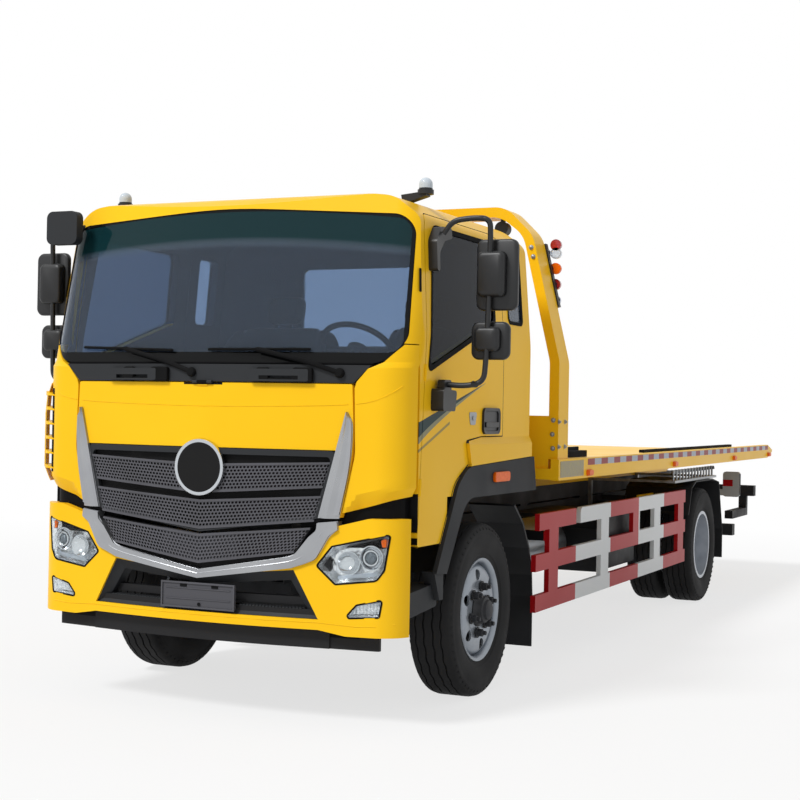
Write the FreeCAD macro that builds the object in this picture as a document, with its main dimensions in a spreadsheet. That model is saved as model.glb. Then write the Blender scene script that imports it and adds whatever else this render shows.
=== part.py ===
import FreeCAD, Part
import math
import os
import re
from types import SimpleNamespace

# A flatbed recovery truck: a two-axle cab-over chassis, a sliding and tilting bed and a wheel lift.
# The truck faces -Y and +X is its own left side. Heights run up from the ground in +Z.
# Places whose names end in _at run rearward from the front axle, and those in _side outward from
# the centre line. The origin is on the ground, midway between the front panel and the bed's tail.

Vector = FreeCAD.Vector
doc = FreeCAD.newDocument("RecoveryTruck")

SIZES = {
    # whole truck
    "front_overhang": 1320, "wheelbase": 5200, "tail_overhang": 2960, "bed_half_width": 1250,
    # running clearances and cuts
    "running_gap": 0.3, "panel_gap": 6, "overrun": 20,
    # chassis frame
    "frame_half_width": 430, "rail_height": 230, "rail_low": 720, "rail_flange": 75, "rail_wall": 8,
    "frame_setback": 170, "frame_overhang": 1735, "member_height": 120, "member_depth": 90,
    "pivot_behind": 65, "pivot_high": 900, "pivot_radius": 25, "lug_radius": 50, "lug_wall": 25,
    "pad_length": 160,
    # engine, gearbox and propeller shaft
    "engine_half_width": 280, "engine_front_at": -800, "engine_back_at": 560, "engine_low": 570,
    "engine_top": 1130, "radiator_depth": 90, "gearbox_radius": 190, "gearbox_end_at": 1250,
    "gearbox_high": 760, "shaft_radius": 45, "shaft_front_high": 720, "shaft_back_high": 520,
    # axles and springs
    "tyre_radius": 505, "tyre_half_width": 136, "kingpin_side": 800, "kingpin_radius": 20,
    "beam_height": 90, "beam_depth": 100, "beam_high": 430, "boss_radius": 42, "boss_half_height": 52,
    "spring_half_width": 38, "spring_side": 390, "front_spring_reach": 720, "rear_spring_reach": 760,
    "leaf_thickness": 16, "front_leaf_low": 480, "rear_leaf_low": 590, "hanger_width": 60,
    "axle_tube_radius": 62, "banjo_radius": 185, "banjo_half_width": 95, "nose_length": 300,
    "spindle_radius": 38,
    # wheels
    "flange_radius": 298, "barrel_radius": 284, "barrel_wall": 12, "rim_half_width": 117,
    "bead_half_width": 103, "front_rim_side": 985, "rear_rim_side": 1073, "dual_spacing": 310,
    "disc_wall": 14, "front_disc_offset": 72, "hub_radius": 88, "hub_nose": 52, "hole_radius": 26,
    "hole_circle": 208, "stud_radius": 13, "stud_circle": 138, "stud_length": 34, "hub_bore_gap": 0.3,
    "shoulder_drop": 9, "shoulder_step": 24, "sidewall_high": 398, "drum_radius": 175,
    # cab form
    "cab_half_width": 1145, "cab_back_at": 670, "cab_low": 940, "floor_low": 1190, "belt_high": 1890,
    "front_face_at": -1310, "front_sweep": 148, "front_radius": 4100, "corner_radius": 190,
    "skin_thickness": 44, "skin_gap": 6, "seat_gap": 0.3, "screen_setback": 20, "screen_lean_share": 0.24, "seam_high": 2000,
    "door_thickness": 60, "wall_thickness": 45, "roof_wall": 45, "floor_wall": 45,
    "roof_brow_high": 2805, "roof_crown_high": 2890, "roof_back_high": 2800, "roof_edge_high": 2790,
    "shoulder_high": 2060, "cant_high": 2680, "cant_side_share": 0.9563, "roof_edge_side_share": 0.8384,
    "tunnel_half_width": 560, "footwell_back_at": -640,
    # doors and windows
    "door_front_at": -1035, "door_top_front_at": -905, "door_back_at": 195, "door_low": 945,
    "door_top": 2705, "door_hinge_inset": 4, "arch_gap": 16,
    "window_front_low": 1880, "window_back_low": 2185, "window_top": 2630, "window_front_at": -915,
    "window_back_at": 55, "window_top_front_at": -800, "glass_thickness": 6, "glass_gap": 0.3,
    "quarter_front_at": 300, "quarter_back_at": 530, "quarter_low": 2195,
    "screen_low": 1896, "screen_corner_side_share": 0.8734, "screen_side_low": 2012, "screen_top": 2745,
    "screen_low_side_share": 0.9642, "screen_top_side_share": 0.945,
    "rear_pane_low": 2050, "rear_pane_top": 2575, "rear_pane_half_width": 450,
    # front panel, grille and blades
    "flap_top": 1785, "flap_top_side_share": 0.7493, "cowl_top_side_share": 0.8297, "flap_low_side_share": 0.6961, "flap_low": 1085,
    "flap_low_apex": 991, "blade_top": 1640, "blade_inner_top_share": 0.7214, "blade_inner_low_share": 0.593,
    "blade_low": 1090, "blade_proud": 16, "blade_drop": 48, "grille_top": 1440, "grille_top_side_share": 0.6655,
    "grille_low_side_share": 0.5834, "grille_depth": 22, "slat_height": 135,
    "hinge_radius": 9, "hinge_pin_radius": 5, "hinge_length": 30, "emblem_radius": 148, "emblem_high": 1333, "emblem_proud": 26,
    # bumper
    "bumper_thickness": 50, "bumper_top": 1095, "bumper_inner_top": 1050, "bumper_low": 487,
    "bumper_centre_low": 512, "bumper_back_at": -1095, "mouth_half_top_share": 0.4847, "mouth_half_low_share": 0.6061,
    "mouth_top": 815, "mouth_low": 565, "trim_apex_low": 744, "trim_apex_top": 789,
    "trim_hook_side": 818, "trim_hook_top": 1080, "trim_proud": 14, "skirt_low": 410,
    "skirt_inset": 60, "skirt_back_at": -960,
    # steps and fenders
    "fender_inner_side": 850, "fender_proud": 20, "fender_wall": 26, "liner_wall": 12,
    "step_front_at": -1085, "step_back_at": -705, "step_low": 575, "step_top": 705,
    "step_inset": 25, "step_width": 240, "flap_behind_at": 745, "flap_bottom": 195,
    # side guards, tanks and boxes
    "guard_inset": 85, "guard_depth": 32, "guard_behind": 20, "guard_ahead": 659,
    "guard_low": 411, "guard_top": 1021, "guard_rail_height": 105, "post_width": 185,
    "tank_radius": 190, "tank_front_at": 1000, "tank_length": 1050, "tank_side": 760,
    "tank_high": 730, "box_gap": 200, "box_share": 0.4365, "locker_share": 0.698, "box_low": 520, "box_inset": 140,
    # rear mudguards and lamps
    "guard_arch_top": 1085, "guard_arch_wall": 12, "lamp_inset": 165, "lamp_half_width": 85,
    "lamp_low": 850, "lamp_top": 1100, "lamp_behind": 15, "lamp_depth": 45, "bar_low": 470,
    "bar_height": 110, "under_run_inset": 130,
    # levers
    "lever_ahead": 1000, "lever_behind": 550, "lever_inset": 60, "lever_low": 1088,
    "lever_top": 1205, "lever_count": 14, "lever_radius": 9,
    # tilt frame
    "tilt_rail_side": 395, "tilt_rail_half_width": 35, "tilt_low": 965, "tilt_top": 1085,
    "tilt_setback": 102, "tilt_overhang": 160, "barrel_radius_slide": 50, "slide_rod_radius": 30,
    "slide_high": 1130, "tilt_member_top": 1030, "slide_setback": 30, "slide_barrel_end": 50,
    "slide_eye_behind": 200,
    # tilt cylinders
    "ram_side": 215, "ram_base_ahead": 100, "ram_base_high": 780, "ram_eye_behind": 1100,
    "ram_eye_high": 1030, "ram_pin_radius": 20, "ram_barrel_radius": 50, "ram_rod_radius": 26,
    "ram_barrel_length": 800, "ram_eye_radius": 58, "ram_eye_bore": 34, "ram_eye_pin_radius": 18, "ram_eye_half_width": 28,
    # bed
    "bed_gap": 278, "bed_rail_low": 1226, "bed_rail_top": 1361, "bed_rail_width": 55,
    "cross_low": 1230, "cross_top": 1290, "deck_top": 1300, "cross_spacing": 560,
    "cross_width": 60, "tail_length": 250, "runner_knee": 130, "runner_rise": 710, "tail_tip_low": 1285, "tail_tip_top": 1305,
    # headboard
    "leg_behind": 22, "leg_depth": 200, "leg_thickness": 65, "leg_inset": 15,
    "leg_bend_share": 0.3835, "hoop_top": 2988, "hoop_shoulder_share": 0.832, "hoop_rise": 188,
    "hoop_radius": 190, "panel_top": 1637, "panel_thickness": 60,
    # winch
    "winch_behind": 552, "winch_half_width": 330, "winch_high": 190, "drum_core_radius": 70,
    "drum_rope_radius": 105, "drum_flange_radius": 135, "winch_plate": 16, "winch_pin_radius": 25,
    # wheel lift
    "lift_behind": 130, "lift_high": 850, "lift_pin_radius": 22, "boom_half": 62, "boom_wall": 10,
    "boom_length": 650, "inner_half": 48, "crossbar_reach": 135, "crossbar_half": 55,
    "crossbar_half_width": 1120, "cradle_side": 1000, "cradle_half": 40, "cradle_low": 610,
    "cradle_length": 715,
    # forms added to the front and the cab's side
    "flap_mid_side_share": 0.7581, "flap_mid_high": 1420, "flap_curve": 1200, "corner_inner_low": 1118,
    "corner_outer_low": 1210, "flare_top": 1510, "flare_proud": 20, "flare_low": 1470,
    "flare_front_at": -380, "flare_foot_at": -335, "flare_front_top": 1488, "flare_bend_at": -150,
    "flare_foot": 1347, "pillar_width": 28, "slat_first_top": 1380, "slat_first_drop": 28,
    "slat_second_drop": 44, "slat_pitch": 176, "slat_middle_height": 158,
    "arch_foot_at": -815, "arch_foot_high": 790, "arch_knee_at": -525, "arch_knee_high": 1250,
    "arch_crown_at": -380, "arch_crown_high": 1345, "arch_back_at": 715, "arch_back_high": 1382,
    "arch_end_at": 765, "liner_crown_high": 1172, "door_foot_at": -720,
    "grip_side": 456, "grip_half_width": 165, "grip_low": 1795, "grip_top": 1860, "grip_proud": 25,
    "band_low": 821, "band_top": 979, "band_end_low": 903, "band_end_top": 1040, "band_low_share": 0.49,
    "band_top_share": 0.566, "plate_half_width": 225, "plate_low": 581, "plate_top": 716, "plate_corner": 10,
    "plate_stem": 60, "step_high": 612, "skirt_share": 0.873, "bracket_low": 820, "skirt_wall": 20,
    "kerb_side": 1065, "kerb_half_width": 105, "kerb_low": 2570, "kerb_top": 2760, "kerb_at": -1150,
    "kerb_depth": 60, "kerb_arm_radius": 12, "kerb_foot_side": 985, "kerb_foot_at": -900, "kerb_foot_high": 2700,
    "wing_front_at": -1128, "wing_back_at": -1052, "wing_wall": 10, "wing_low": 1226, "wing_top": 1765,
    "wing_proud": 52, "vane_count": 6, "vane_wall": 5,
}

# places and widths that follow the sizes above
PLACES = {
    "bed_tail_at": "wheelbase + tail_overhang",
    "frame_front_at": "frame_setback - front_overhang",
    "frame_end_at": "wheelbase + frame_overhang",
    "pivot_at": "frame_end_at + pivot_behind",
    "tilt_back_at": "pivot_at + tilt_overhang",
    "lift_at": "pivot_at + lift_behind",
    "boom_back_at": "lift_at + boom_length",
    "crossbar_at": "boom_back_at + crossbar_reach",
    "cradle_front_at": "crossbar_at - cradle_length",
    "ram_base_at": "wheelbase - ram_base_ahead",
    "ram_eye_at": "wheelbase + ram_eye_behind",
    "slide_barrel_back_at": "wheelbase - slide_barrel_end",
    "slide_eye_at": "wheelbase + slide_eye_behind",
    "lamp_at": "frame_end_at + lamp_behind",
    "tail_at": "bed_tail_at - tail_length",
    "lever_front_at": "wheelbase - lever_ahead",
    "lever_back_at": "wheelbase + lever_behind",
    "guard_back_at": "wheelbase - guard_ahead",
    "bed_front_at": "cab_back_at + bed_gap",
    "leg_front_at": "bed_front_at + leg_behind",
    "leg_back_at": "leg_front_at + leg_depth",
    "winch_at": "bed_front_at + winch_behind",
    "tilt_front_at": "bed_front_at + tilt_setback",
    "slide_barrel_front_at": "tilt_front_at + slide_setback",
    "guard_front_at": "cab_back_at + guard_behind",
    "tank_back_at": "tank_front_at + tank_length",
    "box_front_at": "tank_back_at + box_gap",
    "box_back_at": "box_front_at + (guard_back_at - box_front_at) * box_share",
    "locker_back_at": "box_front_at + (guard_back_at - box_front_at) * locker_share",
    "fender_outer_side": "cab_half_width + fender_proud",
    "step_outer_side": "cab_half_width - step_inset",
    "step_inner_side": "step_outer_side - step_width",
    "guard_side": "bed_half_width - guard_inset",
    "lamp_side": "bed_half_width - lamp_inset",
    "bar_half_width": "bed_half_width - under_run_inset",
    "lever_side": "bed_half_width - lever_inset",
    "leg_side": "bed_half_width - leg_inset",
    "box_outer": "bed_half_width - box_inset",
    "hoop_shoulder_side": "bed_half_width * hoop_shoulder_share",
    "hoop_shoulder_high": "hoop_top - hoop_rise",
    "leg_bend_high": "bed_rail_top + (hoop_top - bed_rail_top) * leg_bend_share",
    "cant_side": "cab_half_width * cant_side_share",
    "roof_edge_side": "cab_half_width * roof_edge_side_share",
    "screen_corner_side": "cab_half_width * screen_corner_side_share",
    "screen_low_side": "cab_half_width * screen_low_side_share",
    "screen_top_side": "cab_half_width * screen_top_side_share",
    "flap_top_side": "cab_half_width * flap_top_side_share",
    "cowl_top_side": "cab_half_width * cowl_top_side_share",
    "flap_low_side": "cab_half_width * flap_low_side_share",
    "blade_inner_top": "cab_half_width * blade_inner_top_share",
    "blade_inner_low": "cab_half_width * blade_inner_low_share",
    "grille_top_side": "cab_half_width * grille_top_side_share",
    "grille_low_side": "cab_half_width * grille_low_side_share",
    "mouth_half_top": "cab_half_width * mouth_half_top_share",
    "mouth_half_low": "cab_half_width * mouth_half_low_share",
    "flap_mid_side": "cab_half_width * flap_mid_side_share",
}

sheet = doc.addObject("Spreadsheet::Sheet", "Sizes")
for row, (alias, value) in enumerate(SIZES.items(), 1):
    sheet.set(f"A{row}", alias)
    sheet.set(f"B{row}", str(value))
    sheet.setAlias(f"B{row}", alias)


def in_sheet(formula):
    """A formula with each name read from its own sheet."""
    def owned(word):
        if word.group() in PLACES:
            return "Places." + word.group()
        return "Sizes." + word.group() if word.group() in SIZES else word.group()
    return re.sub(r"[a-z][a-z_]*", owned, formula)


derived = doc.addObject("Spreadsheet::Sheet", "Places")
for row, alias in enumerate(PLACES, 1):
    derived.set(f"A{row}", alias)
    derived.setAlias(f"B{row}", alias)
for row, formula in enumerate(PLACES.values(), 1):
    derived.set(f"B{row}", "=" + in_sheet(formula).replace("Places.", ""))
doc.recompute()
size = SimpleNamespace(**{alias: float(sheet.get(alias)) for alias in SIZES},
                       **{alias: float(derived.get(alias)) for alias in PLACES})

# the front axle's place along Y, as a formula and as a number
AXLE = "(front_overhang - bed_tail_at) / 2"
axle = (size.front_overhang - size.bed_tail_at) / 2

NODES = {}


def box(name, x, y, z):
    """A block between a low and a high formula along each axis."""
    block = doc.addObject("Part::Box", name)
    for side, letter, (low, high) in zip(("Length", "Width", "Height"), "xyz", (x, y, z)):
        block.setExpression(side, in_sheet(f"({high}) - ({low})"))
        block.setExpression("Placement.Base." + letter, in_sheet(low))
    return block


TURNS = {"x": FreeCAD.Rotation(Vector(0, 1, 0), 90),
         "y": FreeCAD.Rotation(Vector(1, 0, 0), -90),
         "z": FreeCAD.Rotation()}


def bar(name, axis, radius, low, high, **places):
    """A round bar along one axis, from a low to a high formula, at places on the other two."""
    rod = doc.addObject("Part::Cylinder", name)
    rod.Placement = FreeCAD.Placement(Vector(), TURNS[axis])
    rod.setExpression("Radius", in_sheet(radius))
    rod.setExpression("Height", in_sheet(f"({high}) - ({low})"))
    for letter, formula in dict(places, **{axis: low}).items():
        rod.setExpression("Placement.Base." + letter, in_sheet(formula))
    return rod


def fuse(name, *things):
    whole = doc.addObject("Part::MultiFuse", name)
    whole.Shapes = list(things)
    return whole


def cut(name, base, *tools):
    left = doc.addObject("Part::Cut", name)
    left.Base = base
    left.Tool = tools[0] if len(tools) == 1 else fuse(name + "_tools", *tools)
    return left


def mirror(name, thing):
    """The same piece on the other side of the centre line."""
    copy = doc.addObject("Part::Mirroring", name)
    copy.Source = thing
    copy.Normal = Vector(1, 0, 0)
    return copy


def feature(name, shape):
    thing = doc.addObject("Part::Feature", name)
    thing.Shape = shape
    return thing


def node(name, thing):
    thing.Label = name
    NODES[name] = thing
    return thing


def at(place):
    """A place behind the front axle, as a number along Y."""
    return axle + place


def on_plane(plane, u, v, level):
    if plane == "XY":
        return Vector(u, v, level)
    if plane == "XZ":
        return Vector(u, level, v)
    return Vector(level, u, v)


def outline(plane, corners, level):
    """A closed wire through corners (u, v) or (u, v, radius), with each radius as a tangent arc."""
    stretches = []
    for index, corner in enumerate(corners):
        here = Vector(corner[0], corner[1], 0)
        radius = corner[2] if len(corner) > 2 else 0
        if not radius:
            stretches.append([here])
            continue
        before = Vector(*corners[index - 1][:2], 0) - here
        after = Vector(*corners[(index + 1) % len(corners)][:2], 0) - here
        half = before.getAngle(after) / 2
        before.normalize()
        after.normalize()
        reach = radius / math.tan(half)
        inward = before + after
        inward.normalize()
        middle = here + inward * (radius / math.sin(half) - radius)
        stretches.append([here + before * reach, middle, here + after * reach])
    edges = []
    for index, stretch in enumerate(stretches):
        points = [on_plane(plane, point.x, point.y, level) for point in stretch]
        if len(points) == 3:
            edges.append(Part.Arc(*points).toShape())
        following = stretches[(index + 1) % len(stretches)][0]
        start, end = points[-1], on_plane(plane, following.x, following.y, level)
        if start.distanceToPoint(end) > size.running_gap / size.tyre_radius:
            edges.append(Part.LineSegment(start, end).toShape())
    return Part.Wire(edges)


def slab(plane, corners, low, high):
    """A rounded outline made solid between two levels of the plane's third axis."""
    push = on_plane(plane, 0, 0, high - low)
    return Part.Face(outline(plane, corners, low)).extrude(push)


def block(x, y, z):
    """A plain block between a low and a high number along each axis."""
    return slab("XY", [(x[0], y[0]), (x[1], y[0]), (x[1], y[1]), (x[0], y[1])], z[0], z[1])


def round_bar(axis, radius, low, high, u, v):
    """A round bar along one axis between two numbers, at u and v on the other two."""
    way = {"x": Vector(1, 0, 0), "y": Vector(0, 1, 0), "z": Vector(0, 0, 1)}[axis]
    base = {"x": Vector(low, u, v), "y": Vector(u, low, v), "z": Vector(u, v, low)}[axis]
    return Part.makeCylinder(radius, high - low, base, way)


def both_sides(shape):
    return [shape, shape.mirror(Vector(), Vector(1, 0, 0))]


def mirrored_outline(half):
    """A symmetric outline in XY or XZ from the corners of its right half, bottom first."""
    other = [(-corner[0],) + tuple(corner[1:]) for corner in reversed(half) if corner[0] > 0]
    return list(half) + other


# Chassis frame: two channels, cross members, rest pads, and the lugs and shaft of the bed's pivot
def make_frame():
    ends = (f"{AXLE} + frame_front_at", f"{AXLE} + frame_end_at")
    inner = "frame_half_width - rail_flange"
    web = box("rail_web", ("frame_half_width - rail_wall", "frame_half_width"), ends,
              ("rail_low", "rail_low + rail_height"))
    top = box("rail_top", (inner, "frame_half_width"), ends,
              ("rail_low + rail_height - rail_wall", "rail_low + rail_height"))
    low = box("rail_bottom", (inner, "frame_half_width"), ends, ("rail_low", "rail_low + rail_wall"))
    lug = bar("pivot_lug", "x", "lug_radius", "frame_half_width - lug_wall", "frame_half_width",
              y=f"{AXLE} + pivot_at", z="pivot_high")
    arm = box("pivot_lug_arm", ("frame_half_width - lug_wall", "frame_half_width"),
              (f"{AXLE} + frame_end_at - lug_radius", f"{AXLE} + pivot_at"),
              ("pivot_high - lug_radius", "pivot_high + lug_radius"))
    side = fuse("rail", web, top, low, lug, arm)
    pieces = [side, mirror("rail_right", side)]
    width = ("-(frame_half_width - rail_wall)", "frame_half_width - rail_wall")
    for index, place in enumerate(("frame_front_at", "gearbox_end_at + member_depth",
                                   "wheelbase / 2", "wheelbase - banjo_radius - banjo_radius - member_depth",
                                   "frame_end_at - member_depth")):
        start = f"{AXLE} + {place}"
        pieces.append(box(f"cross_member_{index}", width, (start, f"{start} + member_depth"),
                          ("rail_low + rail_height - rail_wall - member_height",
                           "rail_low + rail_height - rail_wall")))
    for index, share in enumerate((0.25, 0.5, 0.75)):
        start = f"{AXLE} + tilt_front_at + {share} * (frame_end_at - tilt_front_at)"
        pad = box(f"rest_pad_{index}", ("tilt_rail_side - tilt_rail_half_width", "frame_half_width"),
                  (start, f"{start} + pad_length"), ("rail_low + rail_height", "tilt_low - running_gap"))
        pieces += [pad, mirror(f"rest_pad_right_{index}", pad)]
    pieces.append(bar("pivot_shaft", "x", "pivot_radius", "-frame_half_width", "frame_half_width",
                      y=f"{AXLE} + pivot_at", z="pivot_high"))
    pieces.append(bar("ram_base_pin", "x", "ram_pin_radius", "-(frame_half_width - rail_wall)",
                      "frame_half_width - rail_wall", y=f"{AXLE} + ram_base_at", z="ram_base_high"))
    reach = "frame_half_width + frame_half_width / 2"
    front = box("cab_mount_front", ("frame_half_width", reach),
                (f"{AXLE} + footwell_back_at - pad_length * 2", f"{AXLE} + footwell_back_at - pad_length"),
                ("cab_low - member_depth", "cab_low - seat_gap"))
    back = box("cab_mount_back", ("frame_half_width - rail_flange", "frame_half_width"),
               (f"{AXLE} + cab_back_at - member_depth - overrun", f"{AXLE} + cab_back_at - overrun"),
               ("rail_low + rail_height", "floor_low - seat_gap"))
    pieces += [front, mirror("cab_mount_front_right", front), back, mirror("cab_mount_back_right", back)]
    node("chassis_frame", fuse("chassis_frame_body", *pieces))


# Engine block with the radiator in front, and the gearbox with the propeller shaft
def make_powertrain():
    sides = ("-engine_half_width", "engine_half_width")
    engine = box("engine_block", sides, (f"{AXLE} + engine_front_at", f"{AXLE} + engine_back_at"),
                 ("engine_low", "engine_top"))
    mount = box("engine_mounts", ("-(frame_half_width - rail_wall)", "frame_half_width - rail_wall"),
                (f"{AXLE} - member_depth / 2", f"{AXLE} + member_depth / 2"),
                ("rail_low + rail_height / 2", "rail_low + rail_height / 2 + member_depth"))
    node("engine", fuse("engine_body", engine, mount))
    case = Part.makeCone(size.gearbox_radius, size.gearbox_radius / 2, size.gearbox_end_at - size.engine_back_at,
                         Vector(0, at(size.engine_back_at), size.gearbox_high), Vector(0, 1, 0))
    start = Vector(0, at(size.gearbox_end_at), size.gearbox_high)
    end = Vector(0, at(size.wheelbase - size.nose_length - size.overrun / 2), size.shaft_back_high)
    run = end - start
    shaft = Part.makeCylinder(size.shaft_radius, run.Length, start, run)
    node("driveline", feature("driveline_body", case.fuse(shaft)))


def leaf_pack(side, centre, reach, low, top):
    """A spring of stepped leaves under two hangers that meet the rail above."""
    half = size.spring_half_width
    pack = None
    for index in range(4):
        shorter = reach * (1 - index / 5)
        leaf = block((side - half, side + half), (centre - shorter, centre + shorter),
                     (low + index * size.leaf_thickness, low + (index + 1) * size.leaf_thickness))
        pack = leaf if pack is None else pack.fuse(leaf)
    for way in (-1, 1):
        place = centre + way * (reach - size.hanger_width / 2)
        pack = pack.fuse(block((side - half, side + half),
                               (place - size.hanger_width / 2, place + size.hanger_width / 2), (low, top)))
    return pack


# Front axle beam with its bosses and springs
def make_front_axle():
    low, high = size.beam_high - size.beam_height / 2, size.beam_high + size.beam_height / 2
    depth = size.beam_depth / 2
    beam = slab("XZ", mirrored_outline([(size.spring_side, low, size.beam_height),
                                        (size.kingpin_side - size.boss_radius * 2,
                                         size.tyre_radius - size.boss_half_height),
                                        (size.kingpin_side, size.tyre_radius - size.boss_half_height),
                                        (size.kingpin_side, size.tyre_radius + size.boss_half_height / 2),
                                        (size.spring_side + size.beam_height, high, size.beam_height)]),
                at(-depth), at(depth))
    for way in (-1, 1):
        boss = round_bar("z", size.boss_radius, size.tyre_radius - size.boss_half_height,
                         size.tyre_radius + size.boss_half_height, way * size.kingpin_side, at(0))
        beam = beam.fuse(boss)
    for way in (-1, 1):
        beam = beam.cut(round_bar("z", size.kingpin_radius + size.running_gap / 4,
                                  size.tyre_radius - size.boss_half_height - size.overrun,
                                  size.tyre_radius + size.boss_half_height + size.overrun,
                                  way * size.kingpin_side, at(0)))
        beam = beam.fuse(leaf_pack(way * size.spring_side, at(0), size.front_spring_reach,
                                   high - size.leaf_thickness / 4, size.rail_low))
    node("front_axle", feature("front_axle_body", beam))


# Steering knuckles: a fork over the beam's boss, the pin through it, and the spindle
def make_knuckle(name, way):
    boss, reach = size.boss_half_height, size.boss_radius
    ear = size.boss_half_height / 2
    side = size.kingpin_side
    middle = size.tyre_radius
    play = size.running_gap
    upper = (middle + boss + play, middle + boss + play + ear)
    lower = (middle - boss - play - ear, middle - boss - play)
    wall = (side + reach + play * 10, side + reach + play * 10 + ear)
    shape = block(wall, (at(-reach), at(reach)), (lower[0], upper[1]))
    for low, high in (upper, lower):
        shape = shape.fuse(round_bar("z", reach, low, high, side, at(0)))
        shape = shape.fuse(block((side, wall[0]), (at(-reach), at(reach)), (low, high)))
    shape = shape.fuse(round_bar("z", size.kingpin_radius, lower[0], upper[1], side, at(0)))
    spindle_end = size.front_rim_side + size.front_disc_offset
    shape = shape.fuse(round_bar("x", size.spindle_radius, wall[0], spindle_end, at(0), middle))
    plate = round_bar("x", size.drum_radius - size.overrun, wall[1] - size.leaf_thickness / 2, wall[1], at(0), middle)
    shape = shape.fuse(plate)
    node(name, feature(name + "_body", shape if way > 0 else both_sides(shape)[1]))


# Rear axle: banjo, tubes, spindles and springs
def make_rear_axle():
    centre, middle = at(size.wheelbase), size.tyre_radius
    inner = size.rear_rim_side - size.dual_spacing - size.tyre_half_width - size.overrun
    shape = round_bar("x", size.axle_tube_radius, -inner, inner, centre, middle)
    shape = shape.fuse(round_bar("x", size.banjo_radius, -size.banjo_half_width, size.banjo_half_width,
                                 centre, middle))
    nose = Part.makeCone(size.shaft_radius, size.banjo_radius * 2 / 3, size.nose_length,
                         Vector(0, centre - size.nose_length, size.shaft_back_high), Vector(0, 1, 0))
    shape = shape.fuse(nose)
    end = size.rear_rim_side - size.tyre_half_width / 2
    shape = shape.fuse(round_bar("x", size.spindle_radius, -end, end, centre, middle))
    for way in (-1, 1):
        seat = block((way * size.spring_side - size.spring_half_width, way * size.spring_side + size.spring_half_width),
                     (centre - size.axle_tube_radius, centre + size.axle_tube_radius),
                     (middle, size.rear_leaf_low))
        shape = shape.fuse(seat).fuse(leaf_pack(way * size.spring_side, centre, size.rear_spring_reach,
                                                size.rear_leaf_low, size.rail_low))
    node("rear_axle", feature("rear_axle_body", shape))


def turned(profile, centre_y, centre_z):
    """A ring about an axle: a closed profile of (x, radius) corners turned once round."""
    points = [Vector(x, centre_y, centre_z + radius) for x, radius in profile]
    wire = Part.makePolygon(points + points[:1])
    return Part.Face(wire).revolve(Vector(0, centre_y, centre_z), Vector(1, 0, 0), 360)


def tyre_ring(side, centre_y):
    """One tyre: flat tread, rounded shoulders and bulged walls down to the beads."""
    half, outer = size.tyre_half_width, size.tyre_radius
    step, drop = size.shoulder_step, size.shoulder_drop
    right = [(size.bead_half_width, size.barrel_radius), (size.bead_half_width, size.flange_radius + drop),
             (half, size.sidewall_high), (half - step / 2, outer - step * 2), (half - step, outer - drop),
             (half - step * 2, outer)]
    left = [(-x, radius) for x, radius in reversed(right)]
    return turned([(side + x, radius) for x, radius in right + left], centre_y, outer)


def rim_ring(side, disc_at, centre_y):
    """One steel rim, and its disc that stands disc_at outboard of the rim's middle."""
    half, bead = size.rim_half_width, size.bead_half_width
    inner = size.barrel_radius - size.barrel_wall
    play = size.running_gap / 3
    barrel = turned([(side - half, size.flange_radius), (side - bead - play, size.flange_radius),
                     (side - bead - play, size.barrel_radius - play),
                     (side + bead + play, size.barrel_radius - play),
                     (side + bead + play, size.flange_radius), (side + half, size.flange_radius),
                     (side + half, inner), (side - half, inner)], centre_y, size.tyre_radius)
    wall = size.disc_wall
    way = 1 if disc_at > 0 else -1
    root = side + way * (half - size.disc_wall * 5)
    face = side + disc_at
    knee = size.hole_circle + size.hole_radius + wall / 4
    back = face - way * wall
    dish = turned([(root, inner + wall / 2), (face, knee), (face, size.hub_radius / 2),
                   (back, size.hub_radius / 2), (back, knee - wall / 2), (root - way * wall * 2, inner + wall / 2)],
                  centre_y, size.tyre_radius)
    for index in range(10):
        angle = 2 * math.pi * index / 10
        y = centre_y + size.hole_circle * math.cos(angle)
        z = size.tyre_radius + size.hole_circle * math.sin(angle)
        reach = abs(root - back) + size.overrun * 2
        dish = dish.cut(round_bar("x", size.hole_radius, back - reach, back + reach, y, z))
    return barrel.fuse(dish)


def studs(low, high, centre_y):
    ring = []
    for index in range(10):
        angle = 2 * math.pi * index / 10 + math.pi / 10
        y = centre_y + size.stud_circle * math.cos(angle)
        z = size.tyre_radius + size.stud_circle * math.sin(angle)
        ring.append(round_bar("x", size.stud_radius, low, high, y, z))
    return ring


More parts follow.
